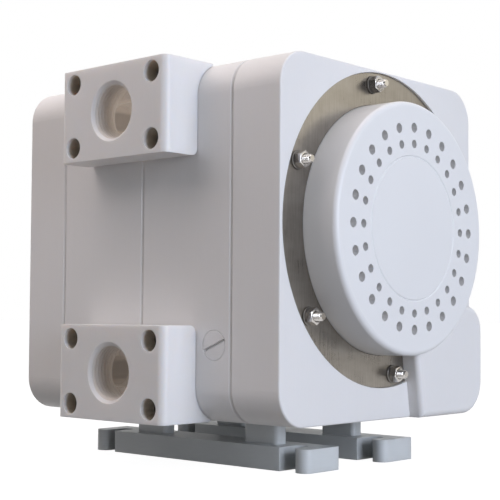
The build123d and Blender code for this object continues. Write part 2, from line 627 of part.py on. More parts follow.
with BuildPart() as cap_disc:
    with BuildSketch(Plane.XZ):
        turned((CAP_FRONT, 0), (CAP_FRONT, DISC_R - SEAT_GAP - GROOVE),
               (CAP_FRONT - GROOVE, DISC_R - SEAT_GAP), (CAP_FRONT - DISC_THICKNESS, DISC_R - SEAT_GAP),
               (CAP_FRONT - DISC_THICKNESS, DISC_LAND_R - SEAT_GAP), (CAP_INSIDE, DISC_LAND_R - SEAT_GAP),
               (CAP_INSIDE, DISC_STUD_R - SEAT_GAP), (STUD_END, DISC_STUD_R - SEAT_GAP), (STUD_END, 0))
    revolve(axis=SHAFT_AXIS)
finish(cap_disc, "cap_disc")

with BuildPart() as silencer_ring:
    with BuildSketch(Plane.YZ.offset(CAP_INSIDE - SILENCER_THICKNESS)):
        with Locations((0, SHAFT_Z)):
            Circle(SPIGOT_R)
            Circle(SILENCER_BORE_R, mode=Mode.SUBTRACT)
    extrude(amount=SILENCER_THICKNESS)
finish(silencer_ring, "silencer_ring")

# ---------------------------------------------------------------- air valve
with BuildPart() as valve_body:
    with BuildSketch(Plane.YZ.offset(HUB_FLOOR)):
        with Locations((0, SHAFT_Z)):
            RectangleRounded(VALVE_BODY_LENGTH, VALVE_BODY_HEIGHT, 4)
    extrude(amount=VALVE_BODY_DEPTH)
    along_y(-VALVE_BODY_LENGTH / 2, VALVE_BODY_LENGTH, [(SPOOL_X, SHAFT_Z)], SPOOL_R)
    for end in (-VALVE_BODY_LENGTH / 2, VALVE_BODY_LENGTH / 2 - END_CAP_THICKNESS):
        along_y(end, END_CAP_THICKNESS, [(SPOOL_X, SHAFT_Z)], END_CAP_R)
    # Air feed, the two chamber ports, the exhausts into the cap and the stud of the disc
    air_ports = [(FEED_Y, FEED_TOP), (AIR_PORT_Y, SHAFT_Z), (-AIR_PORT_Y, SHAFT_Z)]
    along_x(HUB_FLOOR, SPOOL_DEPTH, air_ports, CHANNEL_R)
    exhausts = [(side * AIR_PORT_Y / 2, SHAFT_Z) for side in (-1, 1)]
    along_x(SPOOL_X, VALVE_BODY_DEPTH, exhausts, CHANNEL_R)
    along_x(STUD_END, DISC_STUD_GRIP, CENTRE, DISC_STUD_R)
    # Four screws, heads sunk
    along_x(HUB_FLOOR, VALVE_BODY_DEPTH, valve_screw_places, VALVE_SCREW_R + PART_GAP)
    along_x(VALVE_BODY_FACE - VALVE_SCREW_HEAD_H, VALVE_SCREW_HEAD_H, valve_screw_places,
            VALVE_SCREW_HEAD_R + PART_GAP)
finish(valve_body, "valve_body")

with BuildPart() as valve_screws:
    along_x(HUB_FLOOR - VALVE_SCREW_GRIP, VALVE_SCREW_GRIP + VALVE_BODY_DEPTH - VALVE_SCREW_HEAD_H,
            valve_screw_places, VALVE_SCREW_R - SEAT_GAP, Mode.ADD)
    along_x(VALVE_BODY_FACE - VALVE_SCREW_HEAD_H, VALVE_SCREW_HEAD_H, valve_screw_places,
            VALVE_SCREW_HEAD_R, Mode.ADD)
finish(valve_screws, "valve_screws")

with BuildPart() as valve_end_caps:
    for end in (-VALVE_BODY_LENGTH / 2, VALVE_BODY_LENGTH / 2 - END_CAP_THICKNESS):
        along_y(end, END_CAP_THICKNESS, [(SPOOL_X, SHAFT_Z)], END_CAP_R - SEAT_GAP, Mode.ADD)
finish(valve_end_caps, "valve_end_caps")

with BuildPart() as spool:
    land = [(SPOOL_X, SHAFT_Z)]
    along_y(-SPOOL_HALF, 2 * SPOOL_HALF, land, SPOOL_WAIST_R, Mode.ADD)
    for start in (-SPOOL_HALF, -SPOOL_LAND / 2, SPOOL_HALF - SPOOL_LAND):
        along_y(start, SPOOL_LAND, land, SPOOL_R - RUN_GAP, Mode.ADD)
finish(spool, "spool")

# ---------------------------------------------------------------- shaft, plates and diaphragms
with BuildPart() as shaft:
    with BuildSketch(Plane.XZ):
        turned((-SHAFT_END, 0), (-SHAFT_END, SHAFT_END_R), (-INNER_PLATE_X, SHAFT_END_R),
               (-INNER_PLATE_X, SHAFT_R), (INNER_PLATE_X, SHAFT_R), (INNER_PLATE_X, SHAFT_END_R),
               (SHAFT_END, SHAFT_END_R), (SHAFT_END, 0))
    revolve(axis=SHAFT_AXIS)
    chamfer(shaft.faces().sort_by(Axis.X)[0].edges() + shaft.faces().sort_by(Axis.X)[-1].edges(), 1)
finish(shaft, "shaft")

with BuildPart() as right_inner_plate:
    with BuildSketch(Plane.XZ):
        turned((INNER_PLATE_X, SHAFT_END_R + SEAT_GAP), (INNER_PLATE_X, PLATE_R),
               (INNER_PLATE_X + INNER_PLATE_THICKNESS, PLATE_R),
               (INNER_PLATE_X + INNER_PLATE_THICKNESS, SHAFT_END_R + SEAT_GAP))
    revolve(axis=SHAFT_AXIS)
    rims = right_inner_plate.edges().filter_by(GeomType.CIRCLE).group_by(SortBy.RADIUS)[-1]
    fillet(rims.sort_by(Axis.X)[0], PLATE_EDGE_R)
finish(right_inner_plate, "right_inner_plate")
left_inner_plate = mirrored(right_inner_plate, "left_inner_plate")

with BuildPart() as right_outer_plate:
    with BuildSketch(Plane.XZ):
        turned((OUTER_PLATE_X - OUTER_PLATE_THICKNESS, SHAFT_END_R + SEAT_GAP),
               (OUTER_PLATE_X - OUTER_PLATE_THICKNESS, PLATE_R),
               (OUTER_PLATE_X, PLATE_R), (OUTER_PLATE_X, SHAFT_END_R + SEAT_GAP))
    revolve(axis=SHAFT_AXIS)
    rims = right_outer_plate.edges().filter_by(GeomType.CIRCLE).group_by(SortBy.RADIUS)[-1]
    fillet(rims.sort_by(Axis.X)[-1], PLATE_EDGE_R)
finish(right_outer_plate, "right_outer_plate")
left_outer_plate = mirrored(right_outer_plate, "left_outer_plate")

with BuildPart() as shaft_nuts:
    for end in (-SHAFT_END, OUTER_PLATE_X):
        with BuildSketch(Plane.YZ.offset(end)):
            with Locations((0, SHAFT_Z)):
                RegularPolygon(SHAFT_NUT_R, 6)
                Circle(SHAFT_END_R + SEAT_GAP, mode=Mode.SUBTRACT)
        extrude(amount=SHAFT_NUT_HEIGHT)
finish(shaft_nuts, "shaft_nuts")

with BuildPart() as right_diaphragm:
    # Clamped rim, one rolled fold towards the air side, and a clamped centre
    near, far = BLOCK_LENGTH - RIM_HALF, BLOCK_LENGTH + RIM_HALF
    fold_in, fold_out = SHAFT_Z + PLATE_R + ROLL_INSET, SHAFT_Z + BOWL_R - ROLL_INSET
    fold_mid = (fold_in + fold_out) / 2
    hole, edge = SHAFT_Z + SHAFT_END_R + SEAT_GAP, SHAFT_Z + DIAPHRAGM_R - SEAT_GAP
    with BuildSketch(Plane.XZ):
        with BuildLine():
            Line((near, hole), (near, fold_in))
            ThreePointArc((near, fold_in), (near + DIAPHRAGM_ROLL, fold_mid), (near, fold_out))
            Polyline((near, fold_out), (near, edge), (far, edge), (far, fold_out))
            ThreePointArc((far, fold_out), (far + DIAPHRAGM_ROLL, fold_mid), (far, fold_in))
            Polyline((far, fold_in), (far, hole), (near, hole))
        make_face()
    revolve(axis=SHAFT_AXIS)
finish(right_diaphragm, "right_diaphragm")
left_diaphragm = mirrored(right_diaphragm, "left_diaphragm")

with BuildPart() as shaft_bush:
    with BuildSketch(Plane.YZ.offset(-SEAL_X)):
        with Locations((0, SHAFT_Z)):
            Circle(BUSH_R - SEAT_GAP)
            Circle(SHAFT_R + RUN_GAP, mode=Mode.SUBTRACT)
    extrude(amount=2 * SEAL_X)
finish(shaft_bush, "shaft_bush")

with BuildPart() as shaft_seals:
    for start in (-LIQUID_FLOOR, SEAL_X):
        with BuildSketch(Plane.YZ.offset(start)):
            with Locations((0, SHAFT_Z)):
                Circle(BUSH_R - SEAT_GAP)
                Circle(SHAFT_R + RUN_GAP, mode=Mode.SUBTRACT)
        extrude(amount=SEAL_WIDTH)
finish(shaft_seals, "shaft_seals")

# ---------------------------------------------------------------- check valves
with BuildPart() as column_plugs:
    along_z(BODY_BOTTOM, COLUMN_PLUG_H, BOTH_COLUMNS, COLUMN_PLUG_R - SEAT_GAP, Mode.ADD)
    with BuildSketch(Plane.XY.offset(BODY_BOTTOM)):
        with Locations(*BOTH_COLUMNS):
            Rectangle(2 * COLUMN_PLUG_R + 1, PLUG_SLOT)
    extrude(amount=PLUG_SLOT_DEPTH, mode=Mode.SUBTRACT)
finish(column_plugs, "column_plugs")

with BuildPart() as valve_seats:
    for seat_z in (SUCTION_SEAT_Z, DISCHARGE_SEAT_Z):
        along_z(seat_z, SEAT_HEIGHT, BOTH_COLUMNS, COLUMN_R - SEAT_GAP, Mode.ADD)
        along_z(seat_z, SEAT_HEIGHT, BOTH_COLUMNS, SEAT_BORE_R)
        with BuildSketch(Plane.XY.offset(seat_z + SEAT_HEIGHT)):
            with Locations(*BOTH_COLUMNS):
                Circle(SEAT_BORE_R + SEAT_CONE)
        extrude(amount=-SEAT_CONE, taper=45, mode=Mode.SUBTRACT)
finish(valve_seats, "valve_seats")


def cage(label, bottom, top, window, stop_z=None):
    """Pair of cage tubes, each with a side window and, above a ball, a stop bar."""
    with BuildPart() as pair:
        along_z(bottom, top - bottom, BOTH_COLUMNS, COLUMN_R - SEAT_GAP, Mode.ADD)
        along_z(bottom, top - bottom, BOTH_COLUMNS, CAGE_BORE_R)
        for x, y in BOTH_COLUMNS:
            if window == "passage":
                start = x if x > 0 else x - 2 * COLUMN_R
                along_x(start, 2 * COLUMN_R, [(y, PASSAGE_Z)], PASSAGE_R)
            else:
                along_y(y - 2 * COLUMN_R, 2 * COLUMN_R, [(x, window)], PASSAGE_R)
        if stop_z:
            with BuildSketch(Plane.XY.offset(stop_z)) as bars:
                with Locations(*BOTH_COLUMNS):
                    Rectangle(2 * CAGE_BORE_R + 1, STOP_WIDTH)
            extrude(bars.sketch, amount=STOP_HEIGHT)
    finish(pair, label)


cage("inlet_spacers", PLUG_TOP, SUCTION_SEAT_Z, SUCTION_Z)
cage("lower_cages", SUCTION_SEAT_Z + SEAT_HEIGHT, DISCHARGE_SEAT_Z, "passage", SUCTION_SEAT_Z + STOP_RISE)
cage("upper_cages", DISCHARGE_SEAT_Z + SEAT_HEIGHT, COLUMN_TOP, DISCHARGE_Z, DISCHARGE_SEAT_Z + STOP_RISE)

for side_name, (x, y) in zip(("left", "right"), BOTH_COLUMNS):
    for port_name, seat_z in (("suction", SUCTION_SEAT_Z), ("discharge", DISCHARGE_SEAT_Z)):
        with BuildPart(Plane.XY.offset(seat_z + BALL_RISE)) as ball:
            with Locations((x, y)):
                Sphere(BALL_R)
        finish(ball, f"{side_name}_{port_name}_ball")
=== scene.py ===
"""Finishes, threads and a plain studio for an air operated diaphragm pump.

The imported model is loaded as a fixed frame: the shaft lies along X, the ports face -Y and
+Z is up, in metres.  Each operator dresses one group of pieces.
"""

import json
from math import ceil, cos, floor, hypot, pi, radians, sin, tan, tau

import bmesh
import bpy
from bpy.props import FloatProperty, FloatVectorProperty, IntProperty, PointerProperty
from bpy.types import Operator, Panel, PropertyGroup
from mathutils import Matrix, Vector
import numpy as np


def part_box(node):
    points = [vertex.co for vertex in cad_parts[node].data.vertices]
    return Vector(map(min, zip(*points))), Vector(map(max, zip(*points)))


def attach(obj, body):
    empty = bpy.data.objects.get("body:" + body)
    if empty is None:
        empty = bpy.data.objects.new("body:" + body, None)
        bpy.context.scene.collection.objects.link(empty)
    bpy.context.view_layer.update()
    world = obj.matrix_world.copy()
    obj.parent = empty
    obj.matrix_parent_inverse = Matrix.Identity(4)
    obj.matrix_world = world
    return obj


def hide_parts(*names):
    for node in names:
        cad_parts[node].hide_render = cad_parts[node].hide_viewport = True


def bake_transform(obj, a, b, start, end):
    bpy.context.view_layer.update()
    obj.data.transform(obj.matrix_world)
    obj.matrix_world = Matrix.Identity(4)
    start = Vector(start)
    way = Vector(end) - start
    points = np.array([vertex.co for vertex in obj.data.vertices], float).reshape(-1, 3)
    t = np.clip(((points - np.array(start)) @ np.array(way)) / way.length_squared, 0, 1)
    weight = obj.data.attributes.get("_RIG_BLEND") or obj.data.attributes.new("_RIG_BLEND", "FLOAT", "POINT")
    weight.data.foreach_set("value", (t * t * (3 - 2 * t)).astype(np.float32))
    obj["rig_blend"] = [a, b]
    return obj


bl_info = {
    "name": "Diaphragm pump dressing",
    "version": (1, 0, 0),
    "blender": (4, 5, 0),
    "location": "View3D > Sidebar > Pump",
    "description": "Dresses an air operated diaphragm pump with finishes, threads and fasteners",
    "category": "Object",
}

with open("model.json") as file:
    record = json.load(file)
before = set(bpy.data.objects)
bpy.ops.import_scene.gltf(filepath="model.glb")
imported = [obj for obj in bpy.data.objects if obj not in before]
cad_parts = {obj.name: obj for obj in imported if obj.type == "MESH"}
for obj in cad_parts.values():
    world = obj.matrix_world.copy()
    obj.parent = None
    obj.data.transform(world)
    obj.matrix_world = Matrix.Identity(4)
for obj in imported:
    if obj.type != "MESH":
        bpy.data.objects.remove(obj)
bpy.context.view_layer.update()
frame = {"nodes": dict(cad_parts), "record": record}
NODES = frame["nodes"]
MM = 0.001
SAME_POINT = 0.002 * MM     # Corners closer than this are one corner


def middle(node):
    """Centre of a CAD node's box."""
    low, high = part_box(node)
    return (low + high) / 2


SHAFT_Z = middle("shaft").z
LOW_PORT_Z = middle("suction_port_block").z
HIGH_PORT_Z = middle("discharge_port_block").z
RING_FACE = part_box("right_clamp_ring")[1].x
ROD_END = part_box("tie_rods")[1].x
PORT_FACE = -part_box("suction_port_block")[0].y


# ---------------------------------------------------------------- settings
def length(name, description, default, low=0.0, high=1.0):
    """A length in metres."""
    return FloatProperty(name=name, description=description, default=default, min=low, max=high,
                         unit="LENGTH", precision=5)


def colour(name, description, default):
    """A linear colour."""
    return FloatVectorProperty(name=name, description=description, default=default, size=3,
                               min=0.0, max=1.0, subtype="COLOR")


class PumpSizes(PropertyGroup):
    """Sizes of the threads, the fasteners and the diaphragms."""

    port_thread_r: length("Port thread radius", "Bore radius of the port threads", 15.15 * MM)
    port_thread_pitch: length("Port thread pitch", "Rise of one turn of the thread", 2.309 * MM)
    port_thread_depth: length("Port thread depth", "Depth of the port threads", 1.35 * MM)
    port_thread_length: length("Port thread length", "Threaded length of a port", 14.25 * MM)
    inlet_thread_r: length("Inlet thread radius", "Bore radius of the air inlet", 6.6 * MM)
    inlet_thread_pitch: length("Inlet thread pitch", "Rise of one turn in the inlet", 1.337 * MM)
    tie_count: IntProperty(name="Tie rods", description="Number of tie rods", default=6, min=1,
                           max=24)
    tie_ring_r: length("Tie rod circle", "Radius of the circle of tie rods", 84.8 * MM)
    tie_phase: FloatProperty(name="Tie rod phase", description="Turn of the circle of tie rods",
                             default=radians(6.7), subtype="ANGLE")
    rod_r: length("Rod radius", "Radius of a tie rod", 2.5 * MM)
    rod_pitch: length("Rod thread pitch", "Rise of one turn of a rod's thread", 0.8 * MM)
    rod_thread: length("Rod thread length", "Threaded length at each end of a rod", 12.0 * MM)
    nut_flats: length("Nut flats", "Width of a nut across its flats", 8.4 * MM)
    nut_height: length("Nut height", "Height of a nut", 4.7 * MM)
    washer_r: length("Washer radius", "Outer radius of a washer", 5.3 * MM)
    washer_thickness: length("Washer thickness", "Thickness of a washer", 1.0 * MM)
    bowl_r: length("Chamber bowl radius", "Radius within which a diaphragm flexes", 62.0 * MM)
    screw_head_r: length("Screw head radius", "Radius of a port screw's head", 5.0 * MM)
    screw_head_h: length("Screw head height", "Height of a port screw's head", 6.0 * MM)
    screw_key: length("Screw key", "Width across the flats of a port screw's socket", 5.0 * MM)


class PumpColours(PropertyGroup):
    """Colours of the pump's materials."""

    housing: colour("Housing plastic", "White plastic of blocks and covers", (0.80, 0.79, 0.785))
    cap: colour("Cap plastic", "White plastic of the silencer cap", (0.82, 0.82, 0.82))
    foot: colour("Foot plastic", "Natural plastic of the rails", (0.65, 0.675, 0.68))
    steel: colour("Fastener steel", "Bright stainless steel of the nuts", (0.52, 0.50, 0.48))
    ring: colour("Ring steel", "Stainless steel of the clamp rings", (0.30, 0.279, 0.252))
    washer: colour("Washer steel", "Darker steel of the washers", (0.21, 0.20, 0.19))
    foam: colour("Silencer foam", "Porous plastic behind the exhaust holes", (0.52, 0.48, 0.44))
    rubber: colour("Rubber", "Shaft seals", (0.03, 0.03, 0.03))
    valve: colour("Valve aluminium", "Body of the air valve", (0.62, 0.62, 0.63))
    seat: colour("Inner plastic", "Seats, cages, balls, plates and sheets", (0.78, 0.78, 0.76))


class PumpStage(PropertyGroup):
    """Camera, floor and lights."""

    lens: FloatProperty(name="Lens", description="Focal length in millimetres on a 36 mm sensor",
                        default=86.5, min=10.0, max=300.0)
    key_power: FloatProperty(name="Key light", description="Power of the large light on the right",
                             default=31.0, min=0.0, subtype="POWER")
    fill_power: FloatProperty(name="Fill light", description="Power of the light at the front",
                              default=1.62, min=0.0, subtype="POWER")
    top_power: FloatProperty(name="Top light", description="Power of the light above",
                             default=6.5, min=0.0, subtype="POWER")
    ambient: FloatProperty(name="Surroundings", description="Brightness of the room's own light",
                           default=0.2, min=0.0)
    floor_colour: colour("Floor", "Plain pale floor", (0.2, 0.2, 0.2))


# ---------------------------------------------------------------- nodes
def add_node(tree, kind, settings=None, inputs=None):
    """A node of this type: its settings first, then the values or links of its sockets."""
    node = tree.nodes.new(kind)
    for name, value in (settings or {}).items():
        setattr(node, name, value)
    for name, value in (inputs or {}).items():
        plug(tree, value, node.inputs[name])
    return node


def plug(tree, value, socket):
    """Links a wire or an output to a socket, or sets the socket to a plain value."""
    if isinstance(value, Wire):
        tree.links.new(value.socket, socket)
    elif isinstance(value, bpy.types.NodeSocket):
        tree.links.new(value, socket)
    else:
        socket.default_value = value


class Wire:
    """A number that varies over a surface: sums on it add Math nodes."""

    def __init__(self, tree, socket):
        self.tree = tree
        self.socket = socket

    def math(self, operation, *values):
        """One Math node on these values."""
        node = add_node(self.tree, "ShaderNodeMath", {"operation": operation},
                        dict(enumerate(values)))
        return Wire(self.tree, node.outputs[0])

    def __add__(self, other):
        return self.math("ADD", self, other)

    def __sub__(self, other):
        return self.math("SUBTRACT", self, other)

    def __rsub__(self, other):
        return self.math("SUBTRACT", other, self)

    def __mul__(self, other):
        return self.math("MULTIPLY", self, other)

    def __abs__(self):
        return self.math("ABSOLUTE", self)

    def root(self):
        """Square root."""
        return self.math("SQRT", self)

    __radd__ = __add__
    __rmul__ = __mul__

    def between(self, low, high):
        """0 below low, 1 above high, smooth between."""
        node = add_node(self.tree, "ShaderNodeMapRange", {"interpolation_type": "SMOOTHSTEP"},
                        {"Value": self, "From Min": low, "From Max": high})
        return Wire(self.tree, node.outputs["Result"])


def seen_rays(tree):
    """1 for the rays of the camera, of reflections and of glass, and 0 for the rays of light."""
    rays = add_node(tree, "ShaderNodeLightPath").outputs
    camera, glossy, through = (Wire(tree, rays[f"Is {kind} Ray"])
                               for kind in ("Camera", "Glossy", "Transmission"))
    return camera + glossy + through


# ---------------------------------------------------------------- materials
MIX_FIRST, MIX_SECOND, MIX_RESULT = 6, 7, 2     # The Mix node's colour sockets


class Finish:
    """One procedural material: a Principled shader with patterns on object coordinates."""

    def __init__(self, name, uniform):
        self.material = bpy.data.materials.new(name)
        self.material.use_nodes = True
        self.tree = self.material.node_tree
        self.tree.nodes.clear()
        self.shader = self.add("ShaderNodeBsdfPrincipled", inputs=uniform)
        self.surface = self.add("ShaderNodeOutputMaterial").inputs["Surface"]
        plug(self.tree, self.shader.outputs["BSDF"], self.surface)
        self.place = self.add("ShaderNodeTexCoord").outputs["Object"]

    def add(self, kind, settings=None, inputs=None):
        """A node of this material."""
        return add_node(self.tree, kind, settings, inputs)

    def noise(self, scale, stretch=(1, 1, 1), detail=3.0, roughness=0.5):
        """Noise from 0 to 1, scale in features per metre, stretched along the axes."""
        mapping = self.add("ShaderNodeMapping", inputs={"Vector": self.place, "Scale": stretch})
        node = self.add("ShaderNodeTexNoise", inputs={
            "Vector": mapping.outputs["Vector"], "Scale": scale, "Detail": detail,
            "Roughness": roughness})
        return Wire(self.tree, node.outputs["Fac"])

    def cells(self, scale):
        """Distance to the nearest of scattered points, scale in points per metre."""
        node = self.add("ShaderNodeTexVoronoi", inputs={"Vector": self.place, "Scale": scale})
        return Wire(self.tree, node.outputs["Distance"])

    def axis(self, name):
        """One object coordinate, in metres."""
        split = self.add("ShaderNodeSeparateXYZ", inputs={"Vector": self.place})
        return Wire(self.tree, split.outputs[name])

    def mix(self, factor, first, second):
        """Colour between first and second."""
        first, second = (value if isinstance(value, bpy.types.NodeSocket) else (*value, 1.0)
                         for value in (first, second))
        node = self.add("ShaderNodeMix", {"data_type": "RGBA"},
                        {"Factor": factor, MIX_FIRST: first, MIX_SECOND: second})
        return node.outputs[MIX_RESULT]

    def paint(self, socket, value):
        """Feeds a varying value to one of the shader's sockets."""
        plug(self.tree, value, self.shader.inputs[socket])

    def paint_seep_glow(self, mask, tone):
        """Painted glow, an emission standing in for light that seeps through the plastic into its bores,
        where the mask is 1.
        """
        self.shader.inputs["Emission Strength"].default_value = 1.0
        self.paint("Emission Color", self.mix(mask, (0.0, 0.0, 0.0), tone))

    def near_ports(self, radius, blur):
        """1 within a radius of either port's axis, 0 a little further out."""
        return self.near_axes(self.axis("X"), self.above_ports(), radius, blur)

    def near_screws(self):
        """1 in and close round the pockets of the port blocks' screws."""
        blur = 0.5 * MM
        width, height = screw_spacing()
        across = abs(self.axis("X")) - width / 2
        rise = abs(self.above_ports()) - height / 2
        return self.near_axes(across, rise, POCKET_R + blur, blur)

    def above_ports(self):
        """Height over the nearer port's axis, on the outer side."""
        half = (HIGH_PORT_Z - LOW_PORT_Z) / 2
        return abs(self.axis("Z") - (LOW_PORT_Z + half)) - half

    def behind_ports(self, start, full):
        """0 to 1 between two depths behind the ports' faces, and 0 again in the rear half."""
        depth = self.axis("Y")
        rear = depth.between(-20.0 * MM, 0.0)
        return depth.between(-PORT_FACE + start, -PORT_FACE + full) - rear

    def near_axes(self, across, rise, radius, blur):
        """1 within a radius of an axis along Y, 0 a little further out."""
        distance = (rise * rise + across * across).root()
        return 1.0 - distance.between(radius - blur, radius)

    def bump(self, height, distance, strength=1.0):
        """Surface relief, distance in metres."""
        node = self.add("ShaderNodeBump", inputs={"Height": height, "Distance": distance,
                                                  "Strength": strength})
        self.paint("Normal", node.outputs["Normal"])


POCKET_R = 6.1 * MM
# Painted shade for the walls of the port bores and of the screw pockets, warmer and darker
PAINTED_BORE_SHADE = (0.70, 0.655, 0.61)
PAINTED_POCKET_SHADE = (0.60, 0.55, 0.47)
# Painted glow, an emission deep in the ports and on the inner pieces round them
PAINTED_SEEP_GLOW = (0.115, 0.1, 0.088)


def screw_spacing():
    """Distances between a port block's screws, across and up."""
    low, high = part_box("port_screws")
    head = 2 * bpy.context.scene.pump_sizes.screw_head_r
    return high.x - low.x - head, high.z - low.z - head - (HIGH_PORT_Z - LOW_PORT_Z)


def shade(tone, factor):
    """A colour made lighter or darker."""
    return tuple(min(1.0, channel * factor) for channel in tone)


def machined_plastic(name, tone, roughness=0.42, glow=0.15, bore_r=0.0):
    """White sheet plastic, faced with a cutter: faint streaks, satin, slightly uneven tone.

    Within bore_r of the ports' axes, and in the screw pockets, painted shade makes the walls
    warmer and darker, and deep in the ports a painted glow stands in for daylight let through."""
    made = Finish(name, {"IOR": 1.45, "Specular IOR Level": 0.45, "Subsurface Weight": glow,
                         "Subsurface Radius": (1.0, 0.86, 0.72), "Subsurface Scale": 0.006})
    clouds = made.noise(9.0, detail=2.0)
    grain = made.noise(700.0, detail=2.0)
    streaks = made.noise(60.0, stretch=(16, 16, 0.6), detail=2.0)
    tone_shift = clouds * 0.55 + grain * 0.2 + streaks * 0.25
    faced = made.mix(tone_shift, shade(tone, 0.955), shade(tone, 1.04))
    if bore_r:
        behind_face = made.behind_ports(1.5 * MM, 3.0 * MM)
        bore = made.near_ports(bore_r, 1.0 * MM) * behind_face
        # Painted shade: the bore and pocket walls darker and warmer than the faced plastic
        faced = made.mix(bore, faced, PAINTED_BORE_SHADE)
        faced = made.mix(made.near_screws() * behind_face, faced, PAINTED_POCKET_SHADE)
        inside = made.behind_ports(7.0 * MM, 18.0 * MM)
        upper = made.axis("Z").between(0.1, 0.17)       # 0 at the lower port, 1 at the upper one
        # Painted glow deep in the ports, stronger at the upper port
        made.paint_seep_glow(bore * inside * (upper * 0.6 + 0.4), PAINTED_SEEP_GLOW)
    made.paint("Base Color", faced)
    made.paint("Roughness", clouds * 0.06 + streaks * 0.07 + (roughness - 0.06))
    made.bump(streaks * 0.7 + grain * 0.3, 0.00002, 0.35)
    return made.material


def turned_plastic(name, tone, roughness=0.36):
    """White plastic turned on a lathe about the shaft axis: fine rings."""
    made = Finish(name, {"IOR": 1.45, "Specular IOR Level": 0.45, "Subsurface Weight": 0.06,
                         "Subsurface Radius": (1.0, 0.9, 0.8), "Subsurface Scale": 0.002})
    mapping = made.add("ShaderNodeMapping", inputs={"Vector": made.place,
                                                    "Location": (0, 0, -SHAFT_Z)})
    wave = made.add("ShaderNodeTexWave", {"wave_type": "RINGS", "rings_direction": "X"},
                    {"Vector": mapping.outputs["Vector"], "Scale": 520.0, "Distortion": 0.6,
                     "Detail": 1.0})
    rings = Wire(made.tree, wave.outputs["Fac"])
    clouds = made.noise(14.0, detail=2.0)
    uneven = clouds * 0.8 + rings * 0.2
    made.paint("Base Color", made.mix(uneven, shade(tone, 0.965), shade(tone, 1.03)))
    made.paint("Roughness", clouds * 0.06 + rings * 0.04 + (roughness - 0.05))
    made.bump(rings, 0.000012, 0.3)
    return made.material


def natural_plastic(name, tone):
    """Translucent natural plastic of the rails, sawn and milled."""
    made = Finish(name, {"IOR": 1.49, "Specular IOR Level": 0.5, "Subsurface Weight": 0.4,
                         "Subsurface Radius": (1.0, 1.05, 1.1), "Subsurface Scale": 0.007})
    clouds = made.noise(30.0, detail=3.0)
    cut = made.noise(90.0, stretch=(1, 1, 14), detail=2.0)
    uneven = clouds * 0.7 + cut * 0.3
    made.paint("Base Color", made.mix(uneven, shade(tone, 0.9), shade(tone, 1.08)))
    made.paint("Roughness", cut * 0.14 + 0.27)
    made.bump(cut, 0.00003, 0.4)
    return made.material


def sheet_steel(name, tone):
    """Cold rolled stainless sheet with a faint grain, soft clouds and stains."""
    made = Finish(name, {"Metallic": 1.0, "IOR": 2.4})
    clouds = made.noise(22.0, detail=3.0)
    grain = made.noise(80.0, stretch=(1, 18, 1), detail=3.0)
    stains = made.noise(45.0, stretch=(1, 1, 2.2), detail=4.0, roughness=0.6)
    uneven = (clouds * 0.35 + grain * 0.3 + stains * 0.35).between(0.3, 0.7)
    made.paint("Base Color", made.mix(uneven, shade(tone, 0.8), shade(tone, 1.16)))
    made.paint("Roughness", clouds * 0.1 + grain * 0.1 + stains * 0.12 + 0.14)
    made.bump(grain, 0.00001, 0.25)
    return made.material


def bright_steel(name, tone, roughness=0.16):
    """Bright turned stainless steel."""
    made = Finish(name, {"Metallic": 1.0, "IOR": 2.4})
    clouds = made.noise(180.0, detail=3.0)
    scratches = made.noise(700.0, stretch=(0.2, 1, 1), detail=2.0)
    made.paint("Base Color", made.mix(clouds, shade(tone, 0.85), shade(tone, 1.12)))
    made.paint("Roughness", clouds * 0.1 + scratches * 0.08 + (roughness - 0.07))
    made.bump(scratches, 0.000006, 0.3)
    return made.material


def black_rubber(name, tone):
    """Moulded rubber."""
    made = Finish(name, {"IOR": 1.52, "Specular IOR Level": 0.3})
    grain = made.noise(900.0, detail=3.0)
    made.paint("Base Color", made.mix(grain, shade(tone, 0.8), shade(tone, 1.3)))
    made.paint("Roughness", grain * 0.2 + 0.55)
    made.bump(grain, 0.00003, 0.4)
    return made.material


def sintered_foam(name, tone):
    """Porous sintered plastic, in small fused grains."""
    made = Finish(name, {"IOR": 1.45, "Specular IOR Level": 0.25})
    grains = made.cells(1100.0)
    clouds = made.noise(60.0, detail=2.0)
    pits = grains.between(0.15, 0.75)
    uneven = pits * 0.7 + clouds * 0.3
    made.paint("Base Color", made.mix(uneven, shade(tone, 1.25), shade(tone, 0.6)))
    made.paint("Roughness", clouds * 0.1 + 0.8)
    made.bump(1.0 - pits, 0.0004, 0.8)
    return made.material


def smooth_plastic(name, tone, roughness=0.3, painted_glow=(0.0, 0.0, 0.0)):
    """Smooth moulded or ground plastic of the inner pieces.

    Its last argument is a painted glow, an emission standing in for the faint light that reaches it through
    the walls round the ports."""
    made = Finish(name, {"IOR": 1.4, "Specular IOR Level": 0.45, "Emission Strength": 1.0,
                         "Emission Color": (*painted_glow, 1.0)})
    clouds = made.noise(40.0, detail=2.0)
    made.paint("Base Color", made.mix(clouds, shade(tone, 0.94), shade(tone, 1.05)))
    made.paint("Roughness", clouds * 0.08 + (roughness - 0.04))
    made.bump(clouds, 0.00002, 0.2)
    return made.material


def cast_aluminium(name, tone):
    """Machined aluminium of the air valve."""
    made = Finish(name, {"Metallic": 1.0, "IOR": 1.6})
    grain = made.noise(120.0, stretch=(1, 12, 1), detail=3.0)
    made.paint("Base Color", made.mix(grain, shade(tone, 0.85), shade(tone, 1.1)))
    made.paint("Roughness", grain * 0.16 + 0.3)
    made.bump(grain, 0.00001, 0.3)
    return made.material


def dress(material, *names):
    """Gives a material to CAD nodes."""
    for name in names:
        mesh = NODES[name].data
        mesh.materials.clear()
        mesh.materials.append(material)


# ---------------------------------------------------------------- meshes
def put_in_scene(name, data):
    """A new object of this mesh, light or camera, at the origin."""
    item = bpy.data.objects.new(name, data)
    bpy.context.scene.collection.objects.link(item)
    return item


def new_piece(name, verts, faces, material=None):
    """A mesh object at the origin, its faces outwards and its sharp edges kept."""
    mesh = bpy.data.meshes.new(name)
    mesh.from_pydata([tuple(v) for v in verts], [], faces)
    mesh.validate()
    if material:
        mesh.materials.append(material)
    smooth(mesh)
    return put_in_scene(name, mesh)


